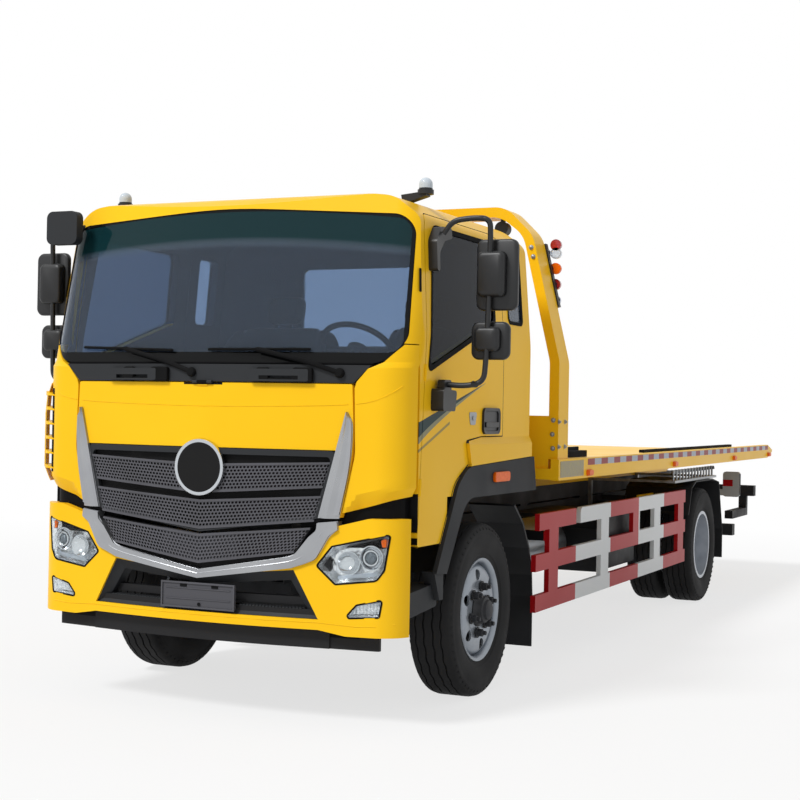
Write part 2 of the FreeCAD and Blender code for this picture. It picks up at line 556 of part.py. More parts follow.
def make_wheels():
    spindle = size.spindle_radius + size.running_gap / 4
    for side_name, way in (("left", 1), ("right", -1)):
        centre = at(0)
        tyre = tyre_ring(size.front_rim_side, centre)
        node(f"tyre_front_{side_name}", feature(f"front_tyre_{side_name}", tyre if way > 0 else both_sides(tyre)[1]))
        face = size.front_rim_side + size.front_disc_offset
        rim = rim_ring(size.front_rim_side, size.front_disc_offset, centre)
        inner = size.kingpin_side + size.boss_radius + size.boss_half_height
        hub = round_bar("x", size.hub_radius, inner, face + size.hub_nose, centre, size.tyre_radius)
        drum = turned([(inner, size.drum_radius), (face - size.disc_wall / 2, size.drum_radius),
                       (face - size.disc_wall / 2, size.hub_radius * 2 / 3),
                       (face - size.disc_wall * 2, size.hub_radius * 2 / 3),
                       (face - size.disc_wall * 2, size.drum_radius - size.disc_wall),
                       (inner, size.drum_radius - size.disc_wall)], centre, size.tyre_radius)
        rim = rim.fuse([hub, drum] + studs(face, face + size.stud_length, centre))
        rim = rim.cut(round_bar("x", spindle, inner - size.overrun, face + size.running_gap,
                                centre, size.tyre_radius))
        node(f"rim_front_{side_name}", feature(f"front_rim_{side_name}", rim if way > 0 else both_sides(rim)[1]))
        centre = at(size.wheelbase)
        outer, inside = size.rear_rim_side, size.rear_rim_side - size.dual_spacing
        pair = Part.makeCompound([tyre_ring(outer, centre), tyre_ring(inside, centre)])
        node(f"tyres_rear_{side_name}", feature(f"rear_tyres_{side_name}", pair if way > 0 else both_sides(pair)[1]))
        meet = (outer + inside) / 2
        rim = rim_ring(outer, meet - outer + size.disc_wall, centre)
        rim = rim.fuse(rim_ring(inside, meet - inside, centre))
        hub_end = outer - size.tyre_half_width / 2
        hub = round_bar("x", size.hub_radius, inside - size.tyre_half_width, hub_end + size.disc_wall,
                        centre, size.tyre_radius)
        rim = rim.fuse([hub] + studs(meet, meet + size.disc_wall + size.stud_length, centre))
        rim = rim.cut(round_bar("x", spindle, inside - size.tyre_half_width - size.overrun,
                                hub_end + size.running_gap, centre, size.tyre_radius))
        node(f"rims_rear_{side_name}", feature(f"rear_rims_{side_name}", rim if way > 0 else both_sides(rim)[1]))


def cab_plan(front_inset, side_inset, setback):
    """The cab's outline seen from above: a swept front between two rounded corners."""
    half = size.cab_half_width - side_inset
    sweep = size.front_sweep * half / size.cab_half_width
    lift = size.front_radius * (1 / math.sin(math.atan2(half, sweep)) - 1)
    apex = at(size.front_face_at) + front_inset + setback - lift
    radius = size.corner_radius - min(side_inset, front_inset)
    back = at(size.cab_back_at) + size.cab_half_width
    right = [(half, apex + sweep, radius), (half, back)]
    left = [(-x, *rest) for x, *rest in reversed(right)]
    return left + [(0, apex, size.front_radius)] + right


def front_form(low_inset, inset, side_inset, low, high):
    """The cab's plan made solid: upright to the belt, and leaning back above it."""
    lower = slab("XY", cab_plan(low_inset, side_inset, 0), low, min(high, size.belt_high))
    if high <= size.belt_high:
        return lower
    base = Part.Face(outline("XY", cab_plan(inset, side_inset, size.screen_setback), size.belt_high))
    rise = high - size.belt_high
    return lower.fuse(base.extrude(Vector(0, rise * size.screen_lean_share, rise))).removeSplitter()


def cab_block(front_inset, side_inset, roof_inset, back_inset, low_front_inset, floor_inset=0):
    """The cab's whole form, drawn in by an inset on each kind of side."""
    bottom, top = size.cab_low, size.roof_crown_high
    whole = front_form(low_front_inset, front_inset, side_inset, bottom, top - min(roof_inset, 0))
    back = at(size.cab_back_at) - back_inset
    step = at(size.footwell_back_at) - floor_inset
    ahead = at(size.front_face_at) - size.wall_thickness
    brow_at = at(size.front_face_at) + size.front_radius / 13
    side = slab("YZ", [(ahead, bottom + floor_inset), (step, bottom + floor_inset),
                       (step, size.floor_low + floor_inset), (back, size.floor_low + floor_inset),
                       (back, size.roof_back_high - roof_inset, size.corner_radius - max(roof_inset, 0)),
                       (at(-size.rail_height), size.roof_crown_high - roof_inset, size.front_radius / 2),
                       (brow_at, size.roof_brow_high - roof_inset, size.corner_radius),
                       (ahead, size.roof_brow_high - size.corner_radius - roof_inset)],
                -size.cab_half_width - size.overrun, size.cab_half_width + size.overrun)
    half = size.cab_half_width - side_inset
    section = mirrored_outline([
        (half, bottom), (half, size.shoulder_high, size.front_radius / 5),
        (size.cant_side - side_inset, size.cant_high, size.corner_radius / 2),
        (size.roof_edge_side - side_inset, size.roof_edge_high - roof_inset, size.corner_radius),
        (0, size.roof_crown_high - roof_inset, size.front_radius)])
    front = slab("XZ", section, ahead, at(size.cab_back_at) + size.wall_thickness)
    return whole.common(side).common(front)


def fender_outline(gap):
    """The wheel arch's outer edge seen from the side, grown by a gap."""
    return [(at(size.arch_foot_at) - gap, size.arch_foot_high),
            (at(size.arch_knee_at) - gap, size.arch_knee_high + gap, size.corner_radius),
            (at(size.arch_crown_at), size.arch_crown_high + gap, size.corner_radius * 4 / 3),
            (at(size.arch_back_at), size.arch_back_high + gap), (at(size.arch_end_at), size.liner_crown_high)]


def door_outline(gap):
    """The door's edge seen from the side, grown by a gap; its foot follows the flare and the wheel arch."""
    arch, lead = size.arch_gap - gap, size.panel_gap - gap
    return [(at(size.door_front_at) - gap, size.door_low - gap, size.overrun),
            (at(size.door_top_front_at) - gap, size.door_top + gap, size.corner_radius / 2),
            (at(size.door_back_at) + gap, size.door_top + gap, size.corner_radius / 3),
            (at(size.door_back_at) + gap, size.flare_top + lead, size.overrun / 2),
            (at(size.flare_bend_at), size.flare_top + lead),
            (at(size.flare_front_at) - lead, size.flare_front_top + lead, size.overrun),
            (at(size.flare_foot_at) - lead, size.flare_foot + arch),
            (at(size.arch_knee_at) - arch, size.arch_knee_high + arch, size.corner_radius),
            (at(size.door_foot_at) - arch, size.door_low - gap, size.overrun)]


def flare(way):
    """The yellow flare over the wheel arch, which slopes out from the cab's side to the arch's lip."""
    near, far = size.cab_half_width - size.running_gap, size.cab_half_width + size.flare_proud
    foot = size.arch_knee_high
    side = slab("YZ", [(at(size.flare_foot_at), foot), (at(size.flare_foot_at), size.flare_foot),
                       (at(size.flare_front_at), size.flare_front_top), (at(size.flare_bend_at), size.flare_top),
                       (at(size.cab_back_at), size.flare_top), (at(size.cab_back_at), foot)], near, far)
    slope = slab("XZ", [(near, foot), (far, foot), (far, size.flare_low), (size.cab_half_width, size.flare_top),
                        (near, size.flare_top)], at(size.flare_front_at), at(size.cab_back_at))
    whole = side.common(slope)
    return whole if way > 0 else both_sides(whole)[1]


def window_outline(gap):
    corner = size.overrun * 2
    return [(at(size.window_front_at) - gap, size.window_front_low - gap, corner),
            (at(size.window_back_at) + gap, size.window_back_low - gap, corner),
            (at(size.window_back_at) + gap, size.window_top + gap, corner),
            (at(size.window_top_front_at) - gap, size.window_top + gap, corner * 2)]


def quarter_outline(gap):
    corner = size.overrun * 2
    return [(at(size.quarter_front_at) - gap, size.quarter_low - gap, corner),
            (at(size.quarter_back_at) + gap, size.quarter_low - gap, corner),
            (at(size.quarter_back_at) + gap, size.window_top + gap, corner),
            (at(size.quarter_front_at) - gap, size.window_top + gap, corner)]


def screen_outline(gap):
    corner = size.corner_radius * 2 / 3
    return mirrored_outline([
        (size.screen_corner_side + gap, size.screen_low - gap, corner),
        (size.screen_low_side + gap, size.screen_side_low - gap, corner),
        (size.screen_top_side + gap, size.screen_top - size.door_thickness + gap, corner),
        (0, size.screen_top + gap, size.front_radius)])


def screen_room(gap):
    """The windscreen's opening, grown by a gap, back to the pillars in front of the doors."""
    ahead = at(size.front_face_at) - size.door_thickness
    reach = size.pillar_width + size.panel_gap - gap
    foot, head = (at(size.door_front_at) - reach, size.door_low), (at(size.door_top_front_at) - reach, size.door_top)
    tip = (head[0] + (head[0] - foot[0]) * size.corner_radius / (head[1] - foot[1]), head[1] + size.corner_radius)
    front = slab("YZ", [(ahead, foot[1]), foot, tip, (ahead, tip[1])], -SIDE, SIDE)
    return slab("XZ", screen_outline(gap), ahead, at(size.window_top_front_at)).common(front)


def rear_pane(gap):
    """The rear wall's pane as an outline across the cab."""
    corner = size.overrun * 2
    side = size.rear_pane_half_width + gap
    return mirrored_outline([(side, size.rear_pane_low - gap, corner), (side, size.rear_pane_top + gap, corner)])


SIDE = size.cab_half_width + size.overrun


FRONT = (at(size.front_face_at) - size.door_thickness * 2, at(size.door_front_at))


def front_ring(proud, depth, low, high):
    """A curved sheet that follows the cab's swept front, from proud of it to a depth behind."""
    outer = front_form(-proud, -proud, -proud, low, high)
    inner = front_form(depth, depth, depth, low - size.overrun, high + size.overrun)
    ahead = block((-SIDE - size.overrun, SIDE + size.overrun), FRONT, (low, high))
    return outer.cut(inner).common(ahead)


def skin_zone():
    """The lower front of the cab, where separate panels hang ahead of the welded shell."""
    ring = front_ring(size.overrun, size.skin_thickness + size.skin_gap, size.cab_low - size.overrun, size.seam_high)
    seam = mirrored_outline([(SIDE + size.overrun, size.cab_low - size.overrun), (SIDE + size.overrun, size.seam_high),
                             (size.screen_corner_side + size.overrun, size.seam_high),
                             (size.cowl_top_side, size.belt_high)])
    return ring.common(slab("XZ", seam, *FRONT))


def make_cab():
    outer = cab_block(0, 0, 0, 0, 0)
    deep = size.skin_thickness + size.skin_gap + size.wall_thickness
    inner = cab_block(size.wall_thickness, size.door_thickness, size.roof_wall, size.wall_thickness, deep,
                      size.floor_wall)
    shell = outer.cut(skin_zone()).cut(inner)
    tunnel = block((-size.tunnel_half_width, size.tunnel_half_width),
                   (at(size.front_face_at) - size.overrun, at(size.footwell_back_at) + size.overrun),
                   (size.cab_low - size.overrun, size.floor_low))
    tunnel_wall = block((-size.tunnel_half_width - size.floor_wall, size.tunnel_half_width + size.floor_wall),
                        (at(size.front_face_at) + deep, at(size.footwell_back_at)),
                        (size.cab_low, size.floor_low + size.floor_wall))
    shell = shell.fuse(tunnel_wall.common(inner)).cut(tunnel)
    for way in (-1, 1):
        low, high = sorted((way * size.fender_inner_side, way * (SIDE + size.overrun)))
        arch = fender_outline(size.panel_gap / 2)
        behind = at(size.cab_back_at) + size.overrun * 4
        arch = arch[:3] + [(behind, size.arch_back_high + size.panel_gap), (behind, size.cab_low - size.overrun),
                           (at(size.arch_foot_at), size.cab_low - size.overrun)]
        shell = shell.fuse(flare(way)).cut(slab("YZ", arch, low, high))
        near, far = sorted((way * (size.cab_half_width - size.corner_radius), way * (SIDE + size.overrun)))
        shell = shell.cut(slab("YZ", door_outline(size.panel_gap), near, far))
        shell = shell.cut(slab("YZ", quarter_outline(0), near, far))
    shell = shell.cut(screen_room(0))
    rear = (at(size.cab_back_at) - size.door_thickness, at(size.cab_back_at) + size.overrun)
    shell = shell.cut(slab("XZ", rear_pane(0), *rear))
    hinge = door_hinges()
    shell = shell.cut(Part.makeCompound(both_sides(hinge.shell_room)))
    for pin in hinge.pins:
        shell = shell.fuse(both_sides(pin))
    node("cab_shell", feature("cab_shell_body", shell))
    glass = cab_block(size.skin_gap, size.skin_gap, size.skin_gap, size.skin_gap, size.skin_gap)
    behind = size.skin_gap + size.glass_thickness
    glass = glass.cut(cab_block(behind, behind, behind, behind, behind))
    gap = size.glass_gap
    panes = [glass.common(screen_room(-gap))]
    panes.append(glass.common(slab("XZ", rear_pane(-gap), *rear)))
    for way in (-1, 1):
        near, far = sorted((way * (size.cab_half_width - size.corner_radius), way * SIDE))
        panes.append(glass.common(slab("YZ", quarter_outline(-gap), near, far)))
    node("cab_glass", feature("cab_glass_body", Part.makeCompound(panes)))
    return glass


def make_doors(glass):
    form = cab_block(0, 0, 0, 0, 0)
    inner = cab_block(size.door_thickness, size.door_thickness, size.roof_wall, size.wall_thickness,
                      size.door_thickness)
    skin = form.cut(inner)
    near, far = size.cab_half_width - size.corner_radius, SIDE
    door = skin.common(slab("YZ", door_outline(0), near, far))
    door = door.cut(slab("YZ", window_outline(0), near, far))
    pane = glass.common(slab("YZ", window_outline(-size.glass_gap), near, far))
    handle_low, handle_top = 1525, 1680
    proud = size.seat_gap
    form = cab_block(-proud, -proud, -proud, -proud, -proud)
    handle = slab("YZ", [(at(-145), handle_low, 15), (at(128), handle_low, 15), (at(128), handle_top, 15),
                         (at(-145), handle_top, 15)], size.cab_half_width + proud,
                  size.cab_half_width + size.blade_proud)
    hinge = door_hinges()
    bores = Part.makeCompound(hinge.pins)
    door = door.cut(hinge.door_room).fuse(hinge.sleeves).cut(bores)
    for side_name, way in (("left", 1), ("right", -1)):
        pick = (lambda shape: shape) if way > 0 else (lambda shape: both_sides(shape)[1])
        node(f"door_{side_name}", feature(f"door_body_{side_name}", pick(door)))
        node(f"door_glass_{side_name}", feature(f"door_pane_{side_name}", pick(pane)))
        node(f"mirrors_{side_name}", feature(f"mirror_set_{side_name}", pick(mirror_set(handle, form))))


def door_hinges():
    """The left door's hinge sleeves, the shell's pins with knuckles, and the room that each needs."""
    foot = Vector(size.cab_half_width + size.overrun / 10, at(size.door_front_at) - size.panel_gap / 2, size.door_low)
    head = Vector(foot.x, at(size.door_top_front_at) - size.panel_gap / 2, size.door_top)
    way = head - foot
    way.normalize()
    radius, length, play = size.hinge_radius, size.hinge_length, size.seat_gap
    sleeves, pins, door_room, shell_room = [], [], [], []
    for height in (1240, 1840):
        start = foot + way * ((height - foot.z) / way.z)
        sleeve = Part.makeCylinder(radius, length, start, way)
        sleeves.append(sleeve.cut(Part.makeCylinder(size.hinge_pin_radius + play / 4, length, start, way)))
        pin = Part.makeCylinder(size.hinge_pin_radius, length * 3, start - way * length, way)
        for step in (-1, 1):
            knuckle = start + way * (length * step + play * step)
            pin = pin.fuse(Part.makeCylinder(radius, length, knuckle, way))
            door_room.append(Part.makeCylinder(radius + play * 3, length + play * 2, knuckle - way * play, way))
        pins.append(pin)
        shell_room.append(Part.makeCylinder(radius + play * 3, length + play * 2, start - way * play, way))
    return SimpleNamespace(sleeves=sleeves, pins=pins, door_room=Part.makeCompound(door_room),
                           shell_room=Part.makeCompound(shell_room))


def mirror_set(handle, form):
    """Both mirrors of a door on one bent tube between two brackets, with the door's handle."""
    tube_radius = 14
    side, out = size.cab_half_width, 1385
    place = at(-730)
    route = [Vector(side, at(-790), 2545), Vector(side + 90, at(-770), 2610), Vector(out + 40, place, 2640),
             Vector(out + 60, place, 2560), Vector(out + 60, place, 1880), Vector(out, place, 1830),
             Vector(side + 40, at(-770), 1790)]
    shape = None
    for start, end in zip(route, route[1:]):
        run = end - start
        piece = Part.makeCylinder(tube_radius, run.Length, start, run)
        ball = Part.makeSphere(tube_radius, end)
        piece = piece.fuse(ball)
        shape = piece if shape is None else shape.fuse(piece)
    for low, high, thickness in ((2190, 2570, 70), (1930, 2135, 70)):
        housing = slab("XZ", [(out - 45, low, 25), (out + 190, low, 25), (out + 190, high, 25), (out - 45, high, 25)],
                       place, place + thickness)
        shape = shape.fuse(housing)
    upper = slab("YZ", [(at(-880), 2440, 20), (at(-640), 2560, 20), (at(-650), 2630, 20), (at(-860), 2600, 30)],
                 side - 65, side + 30)
    lower = slab("YZ", [(at(-890), 1655, 15), (at(-640), 1655, 15), (at(-640), 1785, 15), (at(-890), 1785, 15)],
                 side - 1, side + 75)
    shape = shape.fuse(upper).fuse(lower).cut(form)
    return Part.makeCompound([shape, handle])


def flap_outline(gap):
    top = size.flap_top_side + gap if gap > 0 else size.flap_top_side - size.panel_gap
    return mirrored_outline([
        (0, size.flap_low_apex - gap), (size.flap_low_side + gap, size.flap_low - gap),
        (size.flap_mid_side + gap, size.flap_mid_high, size.flap_curve),
        (top, size.flap_top + gap, size.overrun / 2)])


def flap_edge(high):
    """How far out the flap's side edge runs at a height."""
    if high < size.flap_mid_high:
        share = (high - size.flap_low) / (size.flap_mid_high - size.flap_low)
        return size.flap_low_side + (size.flap_mid_side - size.flap_low_side) * share
    share = (high - size.flap_mid_high) / (size.flap_top - size.flap_mid_high)
    return size.flap_mid_side + (size.flap_top_side - size.panel_gap - size.flap_mid_side) * share


def hinge_place():
    """The flap's hinge line, just proud of the gap above it."""
    return at(size.front_face_at) - size.hinge_radius * 3 / 4, size.flap_top + size.panel_gap / 2


def flap_hinge():
    """The flap's sleeve, and the pin with two knuckles that the cowl carries."""
    y, z = hinge_place()
    half, play = size.hinge_length, size.seat_gap
    bore = round_bar("x", size.hinge_pin_radius + play / 4, -half, half, y, z)
    sleeve = round_bar("x", size.hinge_radius, -half, half, y, z).cut(bore)
    pin = round_bar("x", size.hinge_pin_radius, -half * 2, half * 2, y, z)
    for low, high in ((-half * 2, -half - play * 2), (half + play * 2, half * 2)):
        lug = block((low, high), (y, y + size.skin_thickness / 2), (z, z + size.hinge_radius))
        pin = pin.fuse(round_bar("x", size.hinge_radius, low, high, y, z)).fuse(lug)
    return sleeve, pin


def grille_outline(gap):
    return mirrored_outline([(0, size.flap_low_apex - gap + size.overrun / 2),
                             (size.grille_low_side + gap, size.flap_low - gap + size.overrun / 2),
                             (size.grille_top_side + gap, size.grille_top + gap)])


def flap_tongue():
    """The short plate that carries the flap's sleeve."""
    y, z = hinge_place()
    half = size.hinge_length
    return block((-half, half), (y, y + size.skin_thickness), (z - size.hinge_radius * 2, z - size.hinge_pin_radius))


def make_front_panel():
    low, high = size.flap_low_apex - size.overrun, size.belt_high
    far = FRONT
    opening = slab("XZ", grille_outline(0), *far)
    sheet_metal = front_ring(0, size.skin_thickness, low, high)
    blank = sheet_metal.common(slab("XZ", flap_outline(0), *far))
    flap = blank.cut(opening)
    edge = size.panel_gap / 2
    foot = size.blade_low + size.overrun
    blade = slab("XZ", [(size.blade_inner_low + size.panel_gap, size.blade_low), (flap_edge(foot) - edge, foot),
                        (flap_edge(size.flap_mid_high) - edge, size.flap_mid_high, size.flap_curve),
                        (flap_edge(size.blade_top) - edge, size.blade_top - size.blade_drop),
                        (size.blade_inner_top, size.blade_top)], *far)
    relief = front_ring(size.overrun, size.blade_proud, low, high)
    flap = flap.cut(relief.common(Part.makeCompound(both_sides(blade))))
    sleeve, pin = flap_hinge()
    pocket = round_bar("x", size.hinge_radius + size.seat_gap, -size.hinge_length * 3, size.hinge_length * 3,
                       *hinge_place())
    node("front_panel", feature("front_panel_body", flap.cut(pocket).fuse(flap_tongue()).fuse(sleeve).cut(pin)))
    band = front_ring(size.blade_proud, size.blade_proud - size.seat_gap, low, high)
    node("grille_blades", feature("grille_blades_body", Part.makeCompound(
        [band.common(side) for side in both_sides(blade)])))
    back = front_ring(-size.grille_depth, size.skin_thickness, low, high)
    back = back.common(slab("XZ", grille_outline(-size.glass_gap), *far))
    face = front_ring(0, size.grille_depth + size.overrun / 4, low, high)
    bars = back
    side = size.grille_top_side
    for index, drop in enumerate((size.slat_first_drop, size.slat_second_drop)):
        top = size.slat_first_top - index * size.slat_pitch
        slat = slab("XZ", mirrored_outline([(0, top - drop - size.slat_middle_height), (side, top - size.slat_height),
                                            (side, top), (0, top - drop)]), *far)
        bars = bars.fuse(face.common(slat).common(slab("XZ", grille_outline(-size.glass_gap), *far)))
    front = at(size.front_face_at)
    disc = round_bar("y", size.emblem_radius, front - size.emblem_proud, front - size.seat_gap, 0, size.emblem_high)
    stem = round_bar("y", size.hub_radius, front - size.emblem_proud / 2, front + size.grille_depth * 3 / 2, 0,
                     size.emblem_high)
    node("grille", feature("grille_body", bars.fuse([disc, stem])))


def make_corner_panels():
    gap, far = size.panel_gap, FRONT
    depth = size.skin_thickness + size.skin_gap - size.seat_gap
    sheet_metal = front_ring(0, depth, size.cab_low, size.seam_high - gap)
    corner = size.screen_corner_side + size.overrun + gap
    side = slab("XZ", [(flap_edge(size.corner_inner_low) + gap, size.corner_inner_low), (SIDE, size.corner_outer_low),
                       (SIDE, size.seam_high), (corner, size.seam_high), (size.cowl_top_side + gap, size.belt_high),
                       (size.flap_top_side + gap, size.flap_top),
                       (size.flap_mid_side + gap, size.flap_mid_high, size.flap_curve)], *far)
    panels = [sheet_metal.common(shape) for shape in both_sides(side)]
    hinge = door_hinges()
    room = both_sides(Part.makeCompound([hinge.shell_room, hinge.door_room]))
    screen = slab("XZ", screen_outline(gap), *far)
    wings = both_sides(corner_wing())
    node("corner_panels", feature("corner_panels_body", Part.makeCompound(
        [panel.cut(cutter).cut(screen).fuse(wing) for panel, cutter, wing in zip(panels, room, wings)])))
    cowl = slab("XZ", mirrored_outline([(size.flap_top_side, size.flap_top + gap),
                                        (size.cowl_top_side, size.belt_high - gap)]), *far)
    strip = front_ring(0, depth, size.cab_low, size.belt_high - gap).common(cowl)
    front = at(size.front_face_at)
    low, high, round_corner = size.grip_low, size.grip_top, size.overrun / 2
    for centre in (-size.grip_side, size.grip_side):
        for half, foot, head in ((size.grip_half_width, low, high), ):
            grip = slab("XZ", [(centre - half, foot, round_corner), (centre + half, foot, round_corner),
                               (centre + half, head, round_corner), (centre - half, head, round_corner)],
                        front - size.overrun * 2, front + size.door_thickness)
        slot = slab("XZ", [(centre - half * 2 / 3, low + size.overrun / 2), (centre + half * 2 / 3, low + size.overrun / 2),
                           (centre + half * 2 / 3, low + size.overrun * 3 / 2),
                           (centre - half * 2 / 3, low + size.overrun * 3 / 2)],
                    front - size.overrun * 3, front + size.door_thickness)
        ring = front_ring(size.grip_proud, size.overrun / 2, size.cab_low, size.belt_high)
        strip = strip.fuse(grip.common(ring)).cut(slot.common(front_ring(size.grip_proud * 2, 0, size.cab_low,
                                                                         size.belt_high)))
    clear_of_mirror = both_sides(kerb_mirror())[1]
    sleeve, pin = flap_hinge()
    half, (y, z) = size.hinge_length, hinge_place()
    clear = round_bar("x", size.hinge_radius + size.seat_gap, -half - size.seat_gap, half + size.seat_gap, y, z)
    node("cowl", feature("cowl_body", Part.makeCompound([strip.cut(clear).fuse(pin), clear_of_mirror])))


def kerb_mirror():
    """The mirror that looks down past the front corner, on a short arm from the roof's pillar."""
    near, far = size.kerb_side - size.kerb_half_width, size.kerb_side + size.kerb_half_width
    corner = size.overrun * 2
    place = at(size.kerb_at)
    head = slab("XZ", [(near, size.kerb_low, corner), (far, size.kerb_low, corner), (far, size.kerb_top, corner),
                       (near, size.kerb_top, corner)], place, place + size.kerb_depth)
    start = Vector(size.kerb_side, place + size.kerb_depth / 2, (size.kerb_low + size.kerb_top) / 2)
    end = Vector(size.kerb_foot_side, at(size.kerb_foot_at), size.kerb_foot_high)
    arm = Part.makeCylinder(size.kerb_arm_radius, (end - start).Length, start, end - start)
    gap = -size.seat_gap
    return head.fuse(arm).cut(cab_block(gap, gap, gap, gap, gap))


def corner_wing():
    """The left corner's outer wing, a curved plate on short vanes that leave slots for the air."""
    low, high = size.wing_low, size.wing_top
    zone = block((size.cab_half_width - size.corner_radius / 2, SIDE + size.wing_proud * 2),
                 (at(size.wing_front_at), at(size.wing_back_at)), (low, high))
    shell = front_form(-size.wing_proud, -size.wing_proud, -size.wing_proud, low, high)
    inside = size.wing_wall - size.wing_proud
    wing = shell.cut(front_form(inside, inside, inside, low - size.overrun, high + size.overrun)).common(zone)
    core = front_form(size.overrun / 2, size.overrun / 2, size.overrun / 2, low - size.overrun, high + size.overrun)
    count = int(size.vane_count)
    for index in range(count):
        level = low + (high - low - size.vane_wall) * index / (count - 1)
        vane = block((size.cab_half_width - size.corner_radius / 2, SIDE + size.wing_proud * 2),
                     (at(size.wing_front_at), at(size.wing_back_at)), (level, level + size.vane_wall))
        wing = wing.fuse(vane.common(shell).cut(core))
    return wing


def bumper_ring(proud, depth, low, high):
    """A curved sheet that follows the bumper's face, a little ahead of the cab's."""
    shift = size.front_overhang + size.front_face_at
    outer = slab("XY", cab_plan(-proud, -proud, -shift), low, high)
    inner = slab("XY", cab_plan(depth, depth, -shift), low - size.overrun, high + size.overrun)
    reach = block((-SIDE * 2, SIDE * 2), (at(-size.front_overhang) - size.door_thickness * 2,
                                          at(size.bumper_back_at)), (low, high))
    return outer.cut(inner).common(reach)


BUMPER = (at(-size.front_overhang) - size.door_thickness, at(size.bumper_back_at))


def shrunk(plane, corners, gap, low, high):
    """A slab whose outline is drawn in by a gap all round."""
    face = Part.Face(outline(plane, corners, low))
    return face.makeOffset2D(-gap).extrude(on_plane(plane, 0, 0, high - low))


def on_bumper(shares):
    """Corners given as shares of the cab's half width and of the bumper's height."""
    height = size.bumper_top - size.bumper_low
    return [(size.cab_half_width * side, size.bumper_low + height * high, *(size.cab_half_width * r for r in rest))
            for side, high, *rest in shares]


HEADLAMP_SHARES = ((0.594, 0.5855, 0.009), (0.684, 0.4342, 0.01), (0.8786, 0.4803, 0.035), (0.91, 0.5707, 0.026),
                   (0.9319, 0.8734, 0.01), (0.6655, 0.755, 0.01))
FOGLAMP_SHARES = ((0.7301, 0.1513, 0.01), (0.8917, 0.1727, 0.01), (0.9039, 0.324, 0.01), (0.786, 0.2697, 0.017))
TRIM_SHARES = ((0, 0.4227), (0.476, 0.5559), (0.5913, 0.6365, 0.05), (0.6559, 0.852, 0.04), (0.6961, 0.898, 0.01),
               (0.6917, 0.9688), (0.5974, 0.949), (0.5948, 0.8865, 0.03), (0.559, 0.829, 0.05), (0.4873, 0.6595, 0.05),
               (0, 0.4967))
TRIM_MIDDLE_SHARES = ((0.482, 0.607), (0.572, 0.7286), (0.6218, 0.8635), (0.69, 0.929))


def lamp_outlines():
    """The headlamp's and the fog lamp's edges on the right half of an XZ view."""
    return [on_bumper(HEADLAMP_SHARES), on_bumper(FOGLAMP_SHARES)]


def mouth_outline(gap):
    return mirrored_outline([(size.mouth_half_low + gap, size.mouth_low - gap), (size.mouth_half_top + gap, size.mouth_top),
                             (0, size.trim_apex_low + size.overrun)])


def make_bumper():
    low, high = size.bumper_low, size.bumper_top
    middle = on_bumper(TRIM_MIDDLE_SHARES)
    face = mirrored_outline([
        (0, size.bumper_centre_low), (size.mouth_half_low, size.bumper_centre_low),
        (size.mouth_half_low + size.emblem_radius, size.bumper_low), (SIDE, size.bumper_low), (SIDE, size.bumper_top),
        (size.cab_half_width - size.corner_radius, size.bumper_top)] + middle[::-1] + [
        (0, (size.trim_apex_low + size.trim_apex_top) / 2)])
    trim = mirrored_outline(on_bumper(TRIM_SHARES))
    shell = bumper_ring(0, size.bumper_thickness, low, high).common(slab("XZ", face, *BUMPER))
    shell = shell.cut(slab("XZ", mouth_outline(0), *BUMPER)).cut(shrunk("XZ", trim, -size.seat_gap, *BUMPER))
    holes, lenses = [], []
    lens = bumper_ring(-size.glass_thickness, size.bumper_thickness - size.glass_thickness, low, high)
    for corners in lamp_outlines():
        holes += both_sides(slab("XZ", corners, *BUMPER))
        lenses += both_sides(lens.common(shrunk("XZ", corners, size.seat_gap, *BUMPER)))
    node("bumper", feature("bumper_body", shell.cut(Part.makeCompound(holes))))
    node("front_lamps", feature("front_lamps_body", Part.makeCompound(lenses)))
    band = bumper_ring(size.trim_proud, size.bumper_thickness, low, high)
    node("bumper_trim", feature("bumper_trim_body", band.common(slab("XZ", trim, *BUMPER))))


